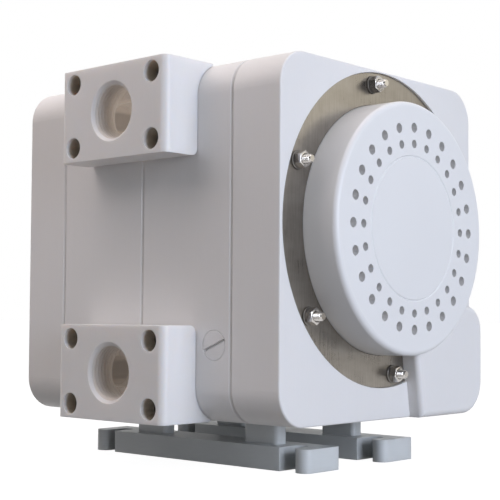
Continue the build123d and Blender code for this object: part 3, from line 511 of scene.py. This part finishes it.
def weld(mesh):
    """Merges the loose triangles of a CAD node's copy and forgets its old shading."""
    for name in ("custom_normal", "sharp_edge", "sharp_face"):
        if name in mesh.attributes:
            mesh.attributes.remove(mesh.attributes[name])
    work = bmesh.new()
    work.from_mesh(mesh)
    bmesh.ops.remove_doubles(work, verts=work.verts, dist=SAME_POINT)
    bmesh.ops.dissolve_degenerate(work, dist=SAME_POINT, edges=work.edges)
    work.to_mesh(mesh)
    work.free()


def smooth(mesh, angle=32):
    """Smooth shading with sharp edges past an angle."""
    mesh.polygons.foreach_set("use_smooth", [True] * len(mesh.polygons))
    mesh.set_sharp_from_angle(angle=radians(angle))
    mesh.update()


def grid_faces(rows, columns, close_rows=False, flip=False):
    """Quads over rows of points that each close into a ring."""
    faces = []
    for i in range(rows if close_rows else rows - 1):
        for j in range(columns):
            near, far = i * columns, (i + 1) % rows * columns
            after = (j + 1) % columns
            face = (near + j, near + after, far + after, far + j)
            faces.append(face[::-1] if flip else face)
    return faces


def circle(r, segments, z=0.0):
    """Points of a circle about Z at height z."""
    return [(r * cos(tau * j / segments), r * sin(tau * j / segments), z) for j in range(segments)]


def turned(profile, segments):
    """Points ring by ring about Z: the profile gives (radius, z) pairs for each angle."""
    columns = []
    for j in range(segments):
        angle = tau * j / segments
        columns.append([(r * cos(angle), r * sin(angle), z) for r, z in profile(angle)])
    return [point for ring in zip(*columns) for point in ring]


def fan(tip, start, segments, flip=False):
    """Triangles from one point to the ring of points that starts at another."""
    faces = [(tip, start + j, start + (j + 1) % segments) for j in range(segments)]
    return [(a, c, b) for a, b, c in faces] if flip else faces


def hexagon_radius(flats, angle):
    """Distance from the centre of a hexagon to its side, at an angle."""
    return flats / 2 / cos((angle % HEX_TURN) - HEX_TURN / 2)


def thread_height(turns):
    """Height of a rounded thread form, 0 at the root and 1 at the crest."""
    phase = turns % 1.0
    ramp = 1 - abs(2 * phase - 1)
    return min(1.0, max(0.0, ramp * 1.5 - 0.25))    # Flat for a sixth of a turn at top and bottom


# ---------------------------------------------------------------- repeats
HEX_TURN = pi / 3                       # A hexagon looks the same again after this turn
RANDOM_MAX, RANDOM_VALUE = 3, 1         # The Random Value node's sockets for a plain number


class Tree:
    """A Geometry Nodes tree with named inputs."""

    def __init__(self, name):
        self.group = bpy.data.node_groups.new(name, "GeometryNodeTree")
        self.group.interface.new_socket(name="Geometry", in_out="OUTPUT",
                                        socket_type="NodeSocketGeometry")
        self.entry = self.group.nodes.new("NodeGroupInput")
        self.exit = self.group.nodes.new("NodeGroupOutput")
        self.names = {}

    def input(self, name, kind, default=None):
        """A named input of the tree, and its socket inside the tree."""
        socket = self.group.interface.new_socket(name=name, in_out="INPUT", socket_type=kind)
        if default is not None:
            socket.default_value = default
        self.names[name] = socket.identifier
        return self.entry.outputs[name]

    def add(self, kind, settings=None, inputs=None):
        """A node of this tree."""
        return add_node(self.group, kind, settings, inputs)

    def spread(self, points, piece, seed, spin):
        """Copies of a piece at these points, each turned by up to spin about its own axis."""
        source = self.add("GeometryNodeObjectInfo", inputs={"Object": piece})
        turn = self.add("FunctionNodeRandomValue", {"data_type": "FLOAT"},
                        {RANDOM_MAX: spin, "Seed": seed})
        about = self.add("ShaderNodeCombineXYZ", inputs={"Z": turn.outputs[RANDOM_VALUE]})
        copies = self.add("GeometryNodeInstanceOnPoints", inputs={
            "Points": points, "Instance": source.outputs["Geometry"],
            "Rotation": about.outputs["Vector"]})
        return copies.outputs["Instances"]

    def end(self, geometry, material):
        """Realize Instances and Set Material, then the output."""
        real = self.add("GeometryNodeRealizeInstances", inputs={"Geometry": geometry})
        painted = self.add("GeometryNodeSetMaterial", inputs={
            "Geometry": real.outputs["Geometry"], "Material": material})
        self.group.links.new(painted.outputs["Geometry"], self.exit.inputs["Geometry"])


def ring_tree(name, material):
    """Copies of one piece on a circle about the shaft axis, each turned at random."""
    tree = Tree(name)
    piece = tree.input("Piece", "NodeSocketObject")
    count = tree.input("Count", "NodeSocketInt", 6)
    ring_r = tree.input("Ring Radius", "NodeSocketFloat", 0.085)
    place = tree.input("Place", "NodeSocketVector")
    tilt = tree.input("Tilt", "NodeSocketVector")
    phase = tree.input("Phase", "NodeSocketVector")
    spin = tree.input("Spin", "NodeSocketFloat", 0.0)
    ring = tree.add("GeometryNodeMeshCircle", inputs={"Vertices": count, "Radius": ring_r})
    shifted = tree.add("GeometryNodeTransform", inputs={
        "Geometry": ring.outputs["Mesh"], "Rotation": phase})
    copies = tree.spread(shifted.outputs["Geometry"], piece, 7, spin)
    stood = tree.add("GeometryNodeTransform", inputs={
        "Geometry": copies, "Rotation": tilt, "Translation": place})
    tree.end(stood.outputs["Geometry"], material)
    return tree


def grid_tree(name, material):
    """Copies of one piece at a rectangle's corners, standing on a face that looks along -Y."""
    tree = Tree(name)
    piece = tree.input("Piece", "NodeSocketObject")
    width = tree.input("Width", "NodeSocketFloat", 0.066)
    height = tree.input("Height", "NodeSocketFloat", 0.0376)
    place = tree.input("Place", "NodeSocketVector")
    grid = tree.add("GeometryNodeMeshGrid", inputs={
        "Size X": width, "Size Y": height, "Vertices X": 2, "Vertices Y": 2})
    copies = tree.spread(grid.outputs["Mesh"], piece, 3, HEX_TURN)
    stood = tree.add("GeometryNodeTransform", inputs={
        "Geometry": copies, "Rotation": (pi / 2, 0, 0), "Translation": place})
    tree.end(stood.outputs["Geometry"], material)
    return tree


def grow(name, tree, values):
    """Runs a tree with these inputs and returns its result as a plain mesh."""
    holder = put_in_scene(name + "_holder", bpy.data.meshes.new(name + "_holder"))
    modifier = holder.modifiers.new("Repeat", "NODES")
    modifier.node_group = tree.group
    for key, value in values.items():
        modifier[tree.names[key]] = value
    bpy.context.view_layer.update()
    graph = bpy.context.evaluated_depsgraph_get()
    mesh = bpy.data.meshes.new_from_object(holder.evaluated_get(graph))
    holder.modifiers.clear()
    bpy.data.objects.remove(holder)
    return mesh


def join(name, meshes, slot_name, body, *replaced):
    """One piece of several plain meshes, riding on a body in place of CAD nodes."""
    verts, faces = [], []
    for mesh in meshes:
        first = len(verts)
        verts += [v.co[:] for v in mesh.vertices]
        faces += [[first + i for i in polygon.vertices] for polygon in mesh.polygons]
    piece = new_piece(name, verts, faces, meshes[0].materials[0])
    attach(piece, body)
    if replaced:
        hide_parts(*replaced)
    return piece


def on_tie_circle(name, tree, source, x, side, spin=0.0):
    """Mesh of a piece repeated on the circle of tie rods at x, standing towards one side."""
    sizes = bpy.context.scene.pump_sizes
    return grow(name, tree, {
        "Piece": source, "Count": sizes.tie_count, "Ring Radius": sizes.tie_ring_r,
        "Place": (x, 0, SHAFT_Z), "Tilt": (0, side * pi / 2, 0),
        "Phase": (0, 0, side * sizes.tie_phase), "Spin": spin})


def both_ends(name, source, material, seat, spin):
    """Meshes of a piece repeated on the circle of tie rods at both ends of the pump."""
    tree = ring_tree(name, material)
    return [on_tie_circle(name, tree, source, side * seat, side, spin) for side in (1, -1)]


# ---------------------------------------------------------------- operators
THREADED_FACES = 500        # A block with fewer faces than this has no thread cut in it


class PUMP_OT_housing(Operator):
    """Finishes the chamber blocks, covers and plugs"""

    bl_idname = "pump.housing"
    bl_label = "Housing"

    def execute(self, context):
        colours = context.scene.pump_colours
        white = machined_plastic("housing_plastic", colours.housing, bore_r=27.0 * MM)
        dress(white, "left_chamber", "right_chamber", "left_cover", "right_cover")
        dress(turned_plastic("plug_plastic", shade(colours.housing, 0.95)), "drain_plugs",
              "column_plugs")
        return {"FINISHED"}


class PUMP_OT_ports(Operator):
    """Cuts the threads into the two port blocks and finishes them"""

    bl_idname = "pump.ports"
    bl_label = "Port blocks"

    def execute(self, context):
        sizes = context.scene.pump_sizes
        white = machined_plastic("port_plastic", context.scene.pump_colours.housing,
                                 roughness=0.4, glow=0.5, bore_r=26.2 * MM)
        for name in ("suction_port_block", "discharge_port_block"):
            block = put_in_scene(name + "_plain", NODES[name].data.copy())
            weld(block.data)
            tap = self.tap(sizes, middle(name).z)
            cut = block.modifiers.new("Thread", "BOOLEAN")
            cut.operation = "DIFFERENCE"
            cut.solver = "EXACT"
            cut.object = tap
            context.view_layer.update()
            graph = context.evaluated_depsgraph_get()
            mesh = bpy.data.meshes.new_from_object(block.evaluated_get(graph))
            bpy.data.objects.remove(block)
            bpy.data.objects.remove(tap)
            if len(mesh.polygons) < THREADED_FACES:
                raise RuntimeError(f"the thread was not cut into {name}")
            mesh.materials.clear()
            mesh.materials.append(white)
            smooth(mesh)
            piece = put_in_scene(name + "_threaded", mesh)
            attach(piece, "housing")
            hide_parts(name)
        return {"FINISHED"}

    def tap(self, sizes, z):
        """A threaded plug the shape of what is cut away, along Y at height z."""
        segments, steps = 60, 10
        inside, ahead = 0.05 * MM, 1.0 * MM         # Clear of the bore's wall and of the face
        pitch, root = sizes.port_thread_pitch, sizes.port_thread_r - inside
        rows = ceil((sizes.port_thread_length + 2 * pitch) / pitch * steps)
        run_out, end_of_thread = 1.3 * MM, -PORT_FACE + 17.8 * MM
        verts, start = [], -PORT_FACE - ahead
        for i in range(rows + 1):
            y = start + i * pitch / steps
            for j in range(segments):
                angle = tau * j / segments
                rise = thread_height((y / pitch) - j / segments)
                deep = min(1.0, max(0.0, (end_of_thread - y) / run_out))
                r = root + sizes.port_thread_depth * rise * deep
                verts.append((r * cos(angle), y, z + r * sin(angle)))
        first, last = len(verts), len(verts) + 1
        verts += [(0, start, z), (0, start + rows * pitch / steps, z)]
        faces = grid_faces(rows + 1, segments, flip=True)
        faces += fan(first, 0, segments) + fan(last, rows * segments, segments, flip=True)
        return new_piece("port_tap", verts, faces)


class PUMP_OT_air_inlet(Operator):
    """Adds the thread of the air inlet"""

    bl_idname = "pump.air_inlet"
    bl_label = "Air inlet thread"

    def execute(self, context):
        sizes = context.scene.pump_sizes
        mount = next(m for m in frame["record"]["mounts"] if m["name"] == "air_inlet")
        x, y, z = mount["pos_m"]
        long = mount["dims"]["length_mm"] * MM
        segments, steps = 36, 8
        clear, sunk, share = 0.04 * MM, 0.3 * MM, 0.92
        root_wall, height = 0.1 * MM, 0.6 * MM
        pitch, outer = sizes.inlet_thread_pitch, sizes.inlet_thread_r - clear
        rows = floor(long * share / pitch * steps)
        first = y + long / 2 - sunk
        verts = []
        for i in range(rows + 1):
            depth = first - i * pitch / steps
            for j in range(segments):
                rise = thread_height(depth / pitch - j / segments)
                fade = min(1.0, i / steps, (rows - i) / steps)
                r = outer - root_wall - height * rise * fade
                angle = tau * j / segments
                verts.append((x + r * cos(angle), depth, z + r * sin(angle)))
        for depth in (first - rows * pitch / steps, first):
            verts += [(x + across, depth, z + up) for across, up, _ in circle(outer, segments)]
        rings = len(verts) // segments
        white = machined_plastic("inlet_plastic", context.scene.pump_colours.housing)
        faces = grid_faces(rings, segments, close_rows=True, flip=True)
        piece = new_piece("air_inlet_thread", verts, faces, white)
        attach(piece, "housing")
        return {"FINISHED"}


class PUMP_OT_silencer(Operator):
    """Finishes the silencer cap, its centre disc and the porous ring behind the holes"""

    bl_idname = "pump.silencer"
    bl_label = "Silencer cap"

    def execute(self, context):
        colours = context.scene.pump_colours
        dress(turned_plastic("cap_plastic", colours.cap), "silencer_cap", "cap_disc")
        dress(sintered_foam("silencer_foam", colours.foam), "silencer_ring")
        return {"FINISHED"}


class PUMP_OT_clamp_rings(Operator):
    """Finishes the two clamp rings"""

    bl_idname = "pump.clamp_rings"
    bl_label = "Clamp rings"

    def execute(self, context):
        dress(sheet_steel("clamp_steel", context.scene.pump_colours.ring),
              "left_clamp_ring", "right_clamp_ring")
        return {"FINISHED"}


class PUMP_OT_tie_rods(Operator):
    """Makes the threaded tie rods, nuts and washers on both ends"""

    bl_idname = "pump.tie_rods"
    bl_label = "Tie rods and nuts"

    def execute(self, context):
        sizes, colours = context.scene.pump_sizes, context.scene.pump_colours
        bright = bright_steel("fastener_steel", colours.steel)
        dull = bright_steel("washer_steel", colours.washer, 0.3)
        washer = self.washer(sizes, dull)
        nut = self.nut(sizes, bright)
        rod = self.rod(sizes, bright)
        washers = both_ends("washers", washer, dull, RING_FACE, 0.0)
        join("tie_washer_set", washers, "washer_steel", "housing", "tie_washers")
        nuts = both_ends("nuts", nut, bright, RING_FACE + sizes.washer_thickness, HEX_TURN)
        join("tie_nut_set", nuts, "fastener_steel", "housing", "tie_nuts")
        rods = on_tie_circle("rods", ring_tree("rods", bright), rod, 0, 1)
        join("tie_rod_set", [rods], "fastener_steel", "housing", "tie_rods")
        for source in (washer, nut, rod):
            bpy.data.objects.remove(source)
        return {"FINISHED"}

    def washer(self, sizes, material):
        """Plain washer with softened edges, standing on z = 0."""
        segments, play, soft = 40, 0.3 * MM, 0.25 * MM
        r, hole, t = sizes.washer_r, sizes.rod_r + play, sizes.washer_thickness
        profile = [(hole, 0), (r - soft, 0), (r, soft), (r, t - soft), (r - soft, t),
                   (hole + soft, t), (hole, t - soft)]
        verts = turned(lambda angle: profile, segments)
        faces = grid_faces(len(profile), segments, close_rows=True)
        return new_piece("washer", verts, faces, material)

    def nut(self, sizes, material):
        """Hexagon nut with chamfered corners, standing on z = 0."""
        segments, flats, top = 48, sizes.nut_flats, sizes.nut_height
        face_r, hole = flats / 2 * 0.965, sizes.rod_r + 0.05 * MM
        mouth, sink, slope = 0.6 * MM, 0.5 * MM, tan(radians(30))

        def profile(angle):
            corner = hexagon_radius(flats, angle)
            drop = (corner - face_r) * slope
            return ((hole, 0.0), (face_r, 0.0), (corner, drop), (corner, top - drop),
                    (face_r, top), (hole + mouth, top), (hole, top - sink))

        verts = turned(profile, segments)
        faces = grid_faces(len(verts) // segments, segments, close_rows=True)
        return new_piece("nut", verts, faces, material)

    def rod(self, sizes, material):
        """Full length rod along Z, threaded at both ends, with domed tips."""
        segments, steps = 20, 6
        pitch, crest, depth = sizes.rod_pitch, sizes.rod_r, 0.5 * MM
        half, threaded = ROD_END, sizes.rod_thread
        tip_r, dome, root_share = crest * 0.74, 0.6 * MM, 0.82
        turns = round(threaded / pitch * steps)
        thread = [half - dome - i * pitch / steps for i in range(turns + 1)]
        shank = half - threaded - 2.0 * MM
        stations = [(-z, True) for z in thread] + [(-shank, False), (shank, False)]
        stations += [(z, True) for z in reversed(thread)]
        verts = [(0, 0, -half)] + circle(tip_r, segments, -half)
        for z, cut in stations:
            for j in range(segments):
                angle = tau * j / segments
                drop = depth * (1 - thread_height(z / pitch - j / segments)) if cut else 0.0
                taper = min(1.0, (half - abs(z)) / (2 * dome))
                r = (crest - drop) * (root_share + (1 - root_share) * taper)
                verts.append((r * cos(angle), r * sin(angle), z))
        verts += circle(tip_r, segments, half) + [(0, 0, half)]
        rings = len(stations) + 2
        faces = [tuple(1 + k for k in face) for face in grid_faces(rings, segments)]
        faces += fan(0, 1, segments, flip=True)
        faces += fan(len(verts) - 1, 1 + (rings - 1) * segments, segments)
        return new_piece("rod", verts, faces, material)


class PUMP_OT_port_screws(Operator):
    """Makes the socket head screws in the pockets of the port blocks"""

    bl_idname = "pump.port_screws"
    bl_label = "Port block screws"

    def execute(self, context):
        sizes = context.scene.pump_sizes
        dark = shade(context.scene.pump_colours.steel, 0.14)
        steel = bright_steel("port_screw_steel", dark, 0.34)
        low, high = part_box("port_screws")
        screw = self.screw(sizes, high.y - low.y, steel)
        tree = grid_tree("port_screws", steel)
        width, height = screw_spacing()
        meshes = [grow("port_screws", tree, {"Piece": screw, "Width": width, "Height": height,
                                             "Place": (0, low.y, z)})
                  for z in (LOW_PORT_Z, HIGH_PORT_Z)]
        join("port_screw_set", meshes, "fastener_steel", "housing", "port_screws")
        bpy.data.objects.remove(screw)
        return {"FINISHED"}

    def screw(self, sizes, full, material):
        """Socket head screw along -Z from its head's top at z = 0."""
        segments, shank, soft, bevel = 36, 2.98 * MM, 0.6 * MM, 0.2 * MM
        head, tall, key = sizes.screw_head_r, sizes.screw_head_h, sizes.screw_key
        deep = tall * 0.5

        def profile(angle):
            corner = hexagon_radius(key, angle)
            return ((corner, -deep), (corner, -bevel), (corner + 1.5 * bevel, 0.0),
                    (head - soft, 0.0), (head, -soft), (head, -tall), (shank, -tall),
                    (shank, -full))

        verts = turned(profile, segments)
        pit, tip = len(verts), len(verts) + 1
        faces = grid_faces(pit // segments, segments, flip=True) + fan(pit, 0, segments)
        faces += fan(tip, pit - segments, segments, flip=True)
        verts += [(0, 0, -deep - 2 * bevel), (0, 0, -full)]
        return new_piece("port_screw", verts, faces, material)


class PUMP_OT_feet(Operator):
    """Finishes the two foot rails and their screws"""

    bl_idname = "pump.feet"
    bl_label = "Foot rails"

    def execute(self, context):
        colours = context.scene.pump_colours
        dress(natural_plastic("foot_plastic", colours.foot), "front_rail", "rear_rail")
        dress(bright_steel("rail_screw_steel", colours.steel, 0.22), "rail_screws")
        return {"FINISHED"}


class PUMP_OT_diaphragms(Operator):
    """Makes the two diaphragms, each with its middle on the shaft and its rim in the housing"""

    bl_idname = "pump.diaphragms"
    bl_label = "Diaphragms"

    def execute(self, context):
        pale = shade(context.scene.pump_colours.seat, 0.95)
        sheet = smooth_plastic("diaphragm_sheet", pale, 0.45)
        plate_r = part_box("left_inner_plate")[1].y
        clamp_r = context.scene.pump_sizes.bowl_r
        for name in ("left_diaphragm", "right_diaphragm"):
            mesh = NODES[name].data.copy()
            weld(mesh)
            smooth(mesh)
            mesh.materials.clear()
            mesh.materials.append(sheet)
            piece = put_in_scene(name + "_flexing", mesh)
            x = middle(name).x
            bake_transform(piece, "housing", "shaft", (x, 0, SHAFT_Z + clamp_r),
                     (x, 0, SHAFT_Z + plate_r))
            # The bend runs outwards from the plates all round, not along one line
            for vertex, weight in zip(mesh.vertices, mesh.attributes["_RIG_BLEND"].data):
                across = hypot(vertex.co.y, vertex.co.z - SHAFT_Z)
                share = min(1.0, max(0.0, (clamp_r - across) / (clamp_r - plate_r)))
                weight.value = share * share * (3 - 2 * share)
            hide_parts(name)
        return {"FINISHED"}


class PUMP_OT_inner_pieces(Operator):
    """Finishes the shaft, air valve and check valves"""

    bl_idname = "pump.inner_pieces"
    bl_label = "Inner pieces"

    def execute(self, context):
        colours = context.scene.pump_colours
        bush_grey = (0.12, 0.11, 0.1)
        dress(bright_steel("shaft_steel", colours.steel, 0.14), "shaft", "shaft_nuts", "spool",
              "valve_screws")
        dress(smooth_plastic("plate_plastic", colours.seat, 0.35), "left_inner_plate",
              "right_inner_plate", "left_outer_plate", "right_outer_plate")
        # The port gaskets here, and the valve seats, spacers and cages below, carry a painted glow
        dress(smooth_plastic("gasket_sheet", shade(colours.seat, 0.98), 0.5, PAINTED_SEEP_GLOW),
              "port_gaskets")
        dress(black_rubber("seal_rubber", colours.rubber), "shaft_seals")
        dress(smooth_plastic("bush_plastic", bush_grey, 0.5), "shaft_bush")
        dress(smooth_plastic("valve_seat_plastic", colours.seat, 0.3, PAINTED_SEEP_GLOW),
              "valve_seats", "inlet_spacers", "lower_cages", "upper_cages")
        dress(smooth_plastic("ball_plastic", shade(colours.seat, 1.08), 0.2), "left_suction_ball",
              "right_suction_ball", "left_discharge_ball", "right_discharge_ball")
        dress(cast_aluminium("valve_aluminium", colours.valve), "valve_body", "valve_end_caps")
        return {"FINISHED"}


def facing(place, target):
    """The transform of a lamp or a card at a place that looks at a target."""
    away = Vector(place) - Vector(target)
    return Matrix.Translation(place) @ away.to_track_quat("Z", "Y").to_matrix().to_4x4()


class PUMP_OT_stage(Operator):
    """Sets the floor, the room, the lights and the camera"""

    bl_idname = "pump.stage"
    bl_label = "Stage"

    def execute(self, context):
        stage = context.scene.pump_stage
        self.floor(stage)
        self.room(context.scene, stage)
        self.lamp("key_light", stage.key_power, size=(1.0, 1.2), place=(1.75, -0.22, 0.32),
                  tone=(0.80, 0.86, 1.0))
        self.lamp("fill_light", stage.fill_power, size=(0.5, 0.45), place=(-0.33, -0.52, 0.62),
                  tone=(1.0, 0.88, 0.86))
        self.lamp("top_light", stage.top_power, size=(0.9, 0.9), place=(-0.1, -0.2, 1.28),
                  tone=(1.0, 0.89, 0.86))
        self.card("dark_card_left", place=(-1.3, -1.5, 0.55), size=(0.5, 1.3),
                  tone=(0.02, 0.02, 0.02))
        self.card("dark_card_front", place=(1.0, -1.5, 0.2), size=(1.3, 1.6),
                  tone=(0.02, 0.02, 0.025))
        self.card("brown_card", place=(1.0, 1.15, 0.15), size=(0.9, 1.0),
                  tone=(0.40, 0.37, 0.33), upper=(1.95, 1.85, 1.6))
        self.camera(context.scene, stage)
        context.scene.view_settings.view_transform = "Standard"
        return {"FINISHED"}

    def floor(self, stage):
        """A wide pale floor that shows white to the camera and keeps the shadow."""
        r, white_seen = 12.0, 0.95
        corners = [(-r, -r, 0), (r, -r, 0), (r, r, 0), (-r, r, 0)]
        plane = new_piece("floor", corners, [(0, 1, 2, 3)])
        made = Finish("pale_floor", {"Roughness": 0.9, "Specular IOR Level": 0.1})
        made.shader.inputs["Base Color"].default_value = (*stage.floor_colour, 1.0)
        glow = made.add("ShaderNodeEmission", inputs={
            "Color": (1, 1, 1, 1), "Strength": seen_rays(made.tree) * white_seen})
        both = made.add("ShaderNodeAddShader", inputs={
            0: made.shader.outputs["BSDF"], 1: glow.outputs["Emission"]})
        plug(made.tree, both.outputs["Shader"], made.surface)
        plane.data.materials.append(made.material)

    def room(self, scene, stage):
        """White to the camera and in reflections, softly grey as a light."""
        world = bpy.data.worlds.new("room")
        world.use_nodes = True
        scene.world = world
        tree = world.node_tree
        tree.nodes.clear()
        seen = seen_rays(tree)
        strength = seen.math("MINIMUM", seen, 1.0) * (1.0 - stage.ambient) + stage.ambient
        background = add_node(tree, "ShaderNodeBackground", inputs={
            "Color": (1, 1, 1, 1), "Strength": strength})
        add_node(tree, "ShaderNodeOutputWorld", inputs={
            "Surface": background.outputs["Background"]})

    def lamp(self, name, power, size, place, tone):
        """A large soft light that looks at the pump's middle."""
        data = bpy.data.lights.new(name, "AREA")
        data.shape = "RECTANGLE"
        data.size, data.size_y = size
        data.energy = power
        data.color = tone
        put_in_scene(name, data).matrix_world = facing(place, (0, 0, 0.12))

    def card(self, name, place, size, tone, upper=None):
        """A card that only reflections see, paler towards its upper corner."""
        w, h = size[0] / 2, size[1] / 2
        turn = facing(place, (0.1, 0, 0.13))
        corners = [turn @ Vector(c) for c in ((-w, -h, 0), (w, -h, 0), (w, h, 0), (-w, h, 0))]
        made = Finish(name + "_cloth", {"Roughness": 0.9, "Base Color": (0, 0, 0, 1),
                                        "Emission Strength": 1.0})
        corner = (made.axis("X") * 0.8 + made.axis("Z")).between(1.08, 1.42)    # In metres
        made.paint("Emission Color", made.mix(corner, tone, upper or tone))
        card = new_piece(name, corners, [(0, 1, 2, 3)], made.material)
        for kind in ("camera", "diffuse", "shadow", "transmission"):
            setattr(card, "visible_" + kind, False)

    def camera(self, scene, stage):
        """A long lens a little below the shaft's height, off the corner between ports and cap."""
        eye = Vector((0.5144, -0.5750, 0.0883))
        yaw, pitch, roll = radians(41.795), radians(2.911), radians(0.337)
        ahead = Vector((-sin(yaw) * cos(pitch), cos(yaw) * cos(pitch), sin(pitch)))
        level = Vector((cos(yaw), sin(yaw), 0))
        upright = level.cross(ahead)
        across = level * cos(roll) + upright * sin(roll)
        upright = upright * cos(roll) - level * sin(roll)
        data = bpy.data.cameras.new("camera")
        data.sensor_width = 36.0
        data.lens = stage.lens
        data.shift_y = 0.0084
        data.clip_start, data.clip_end = 0.05, 60.0
        camera = put_in_scene("camera", data)
        turn = Matrix((across, upright, -ahead)).transposed().to_4x4()
        camera.matrix_world = Matrix.Translation(eye) @ turn
        scene.camera = camera


class PUMP_PT_panel(Panel):
    """Sidebar panel with the pump's operators"""

    bl_idname = "PUMP_PT_panel"
    bl_label = "Pump"
    bl_space_type = "VIEW_3D"
    bl_region_type = "UI"
    bl_category = "Pump"

    def draw(self, context):
        for operator in OPERATORS:
            self.layout.operator(operator.bl_idname)


OPERATORS = (PUMP_OT_housing, PUMP_OT_ports, PUMP_OT_air_inlet, PUMP_OT_silencer,
             PUMP_OT_clamp_rings, PUMP_OT_tie_rods, PUMP_OT_port_screws, PUMP_OT_feet,
             PUMP_OT_diaphragms, PUMP_OT_inner_pieces, PUMP_OT_stage)
CLASSES = (PumpSizes, PumpColours, PumpStage) + OPERATORS + (PUMP_PT_panel,)


def register():
    """Adds the classes and the settings."""
    for each in CLASSES:
        bpy.utils.register_class(each)
    bpy.types.Scene.pump_sizes = PointerProperty(type=PumpSizes)
    bpy.types.Scene.pump_colours = PointerProperty(type=PumpColours)
    bpy.types.Scene.pump_stage = PointerProperty(type=PumpStage)


def unregister():
    """Takes them away again."""
    del bpy.types.Scene.pump_stage
    del bpy.types.Scene.pump_colours
    del bpy.types.Scene.pump_sizes
    for each in reversed(CLASSES):
        bpy.utils.unregister_class(each)


def main():
    """Dresses the pump."""
    register()
    bpy.ops.pump.housing()
    bpy.ops.pump.ports()
    bpy.ops.pump.air_inlet()
    bpy.ops.pump.silencer()
    bpy.ops.pump.clamp_rings()
    bpy.ops.pump.tie_rods()
    bpy.ops.pump.port_screws()
    bpy.ops.pump.feet()
    bpy.ops.pump.diaphragms()
    bpy.ops.pump.inner_pieces()
    bpy.ops.pump.stage()


if __name__ == "__main__":
    main()
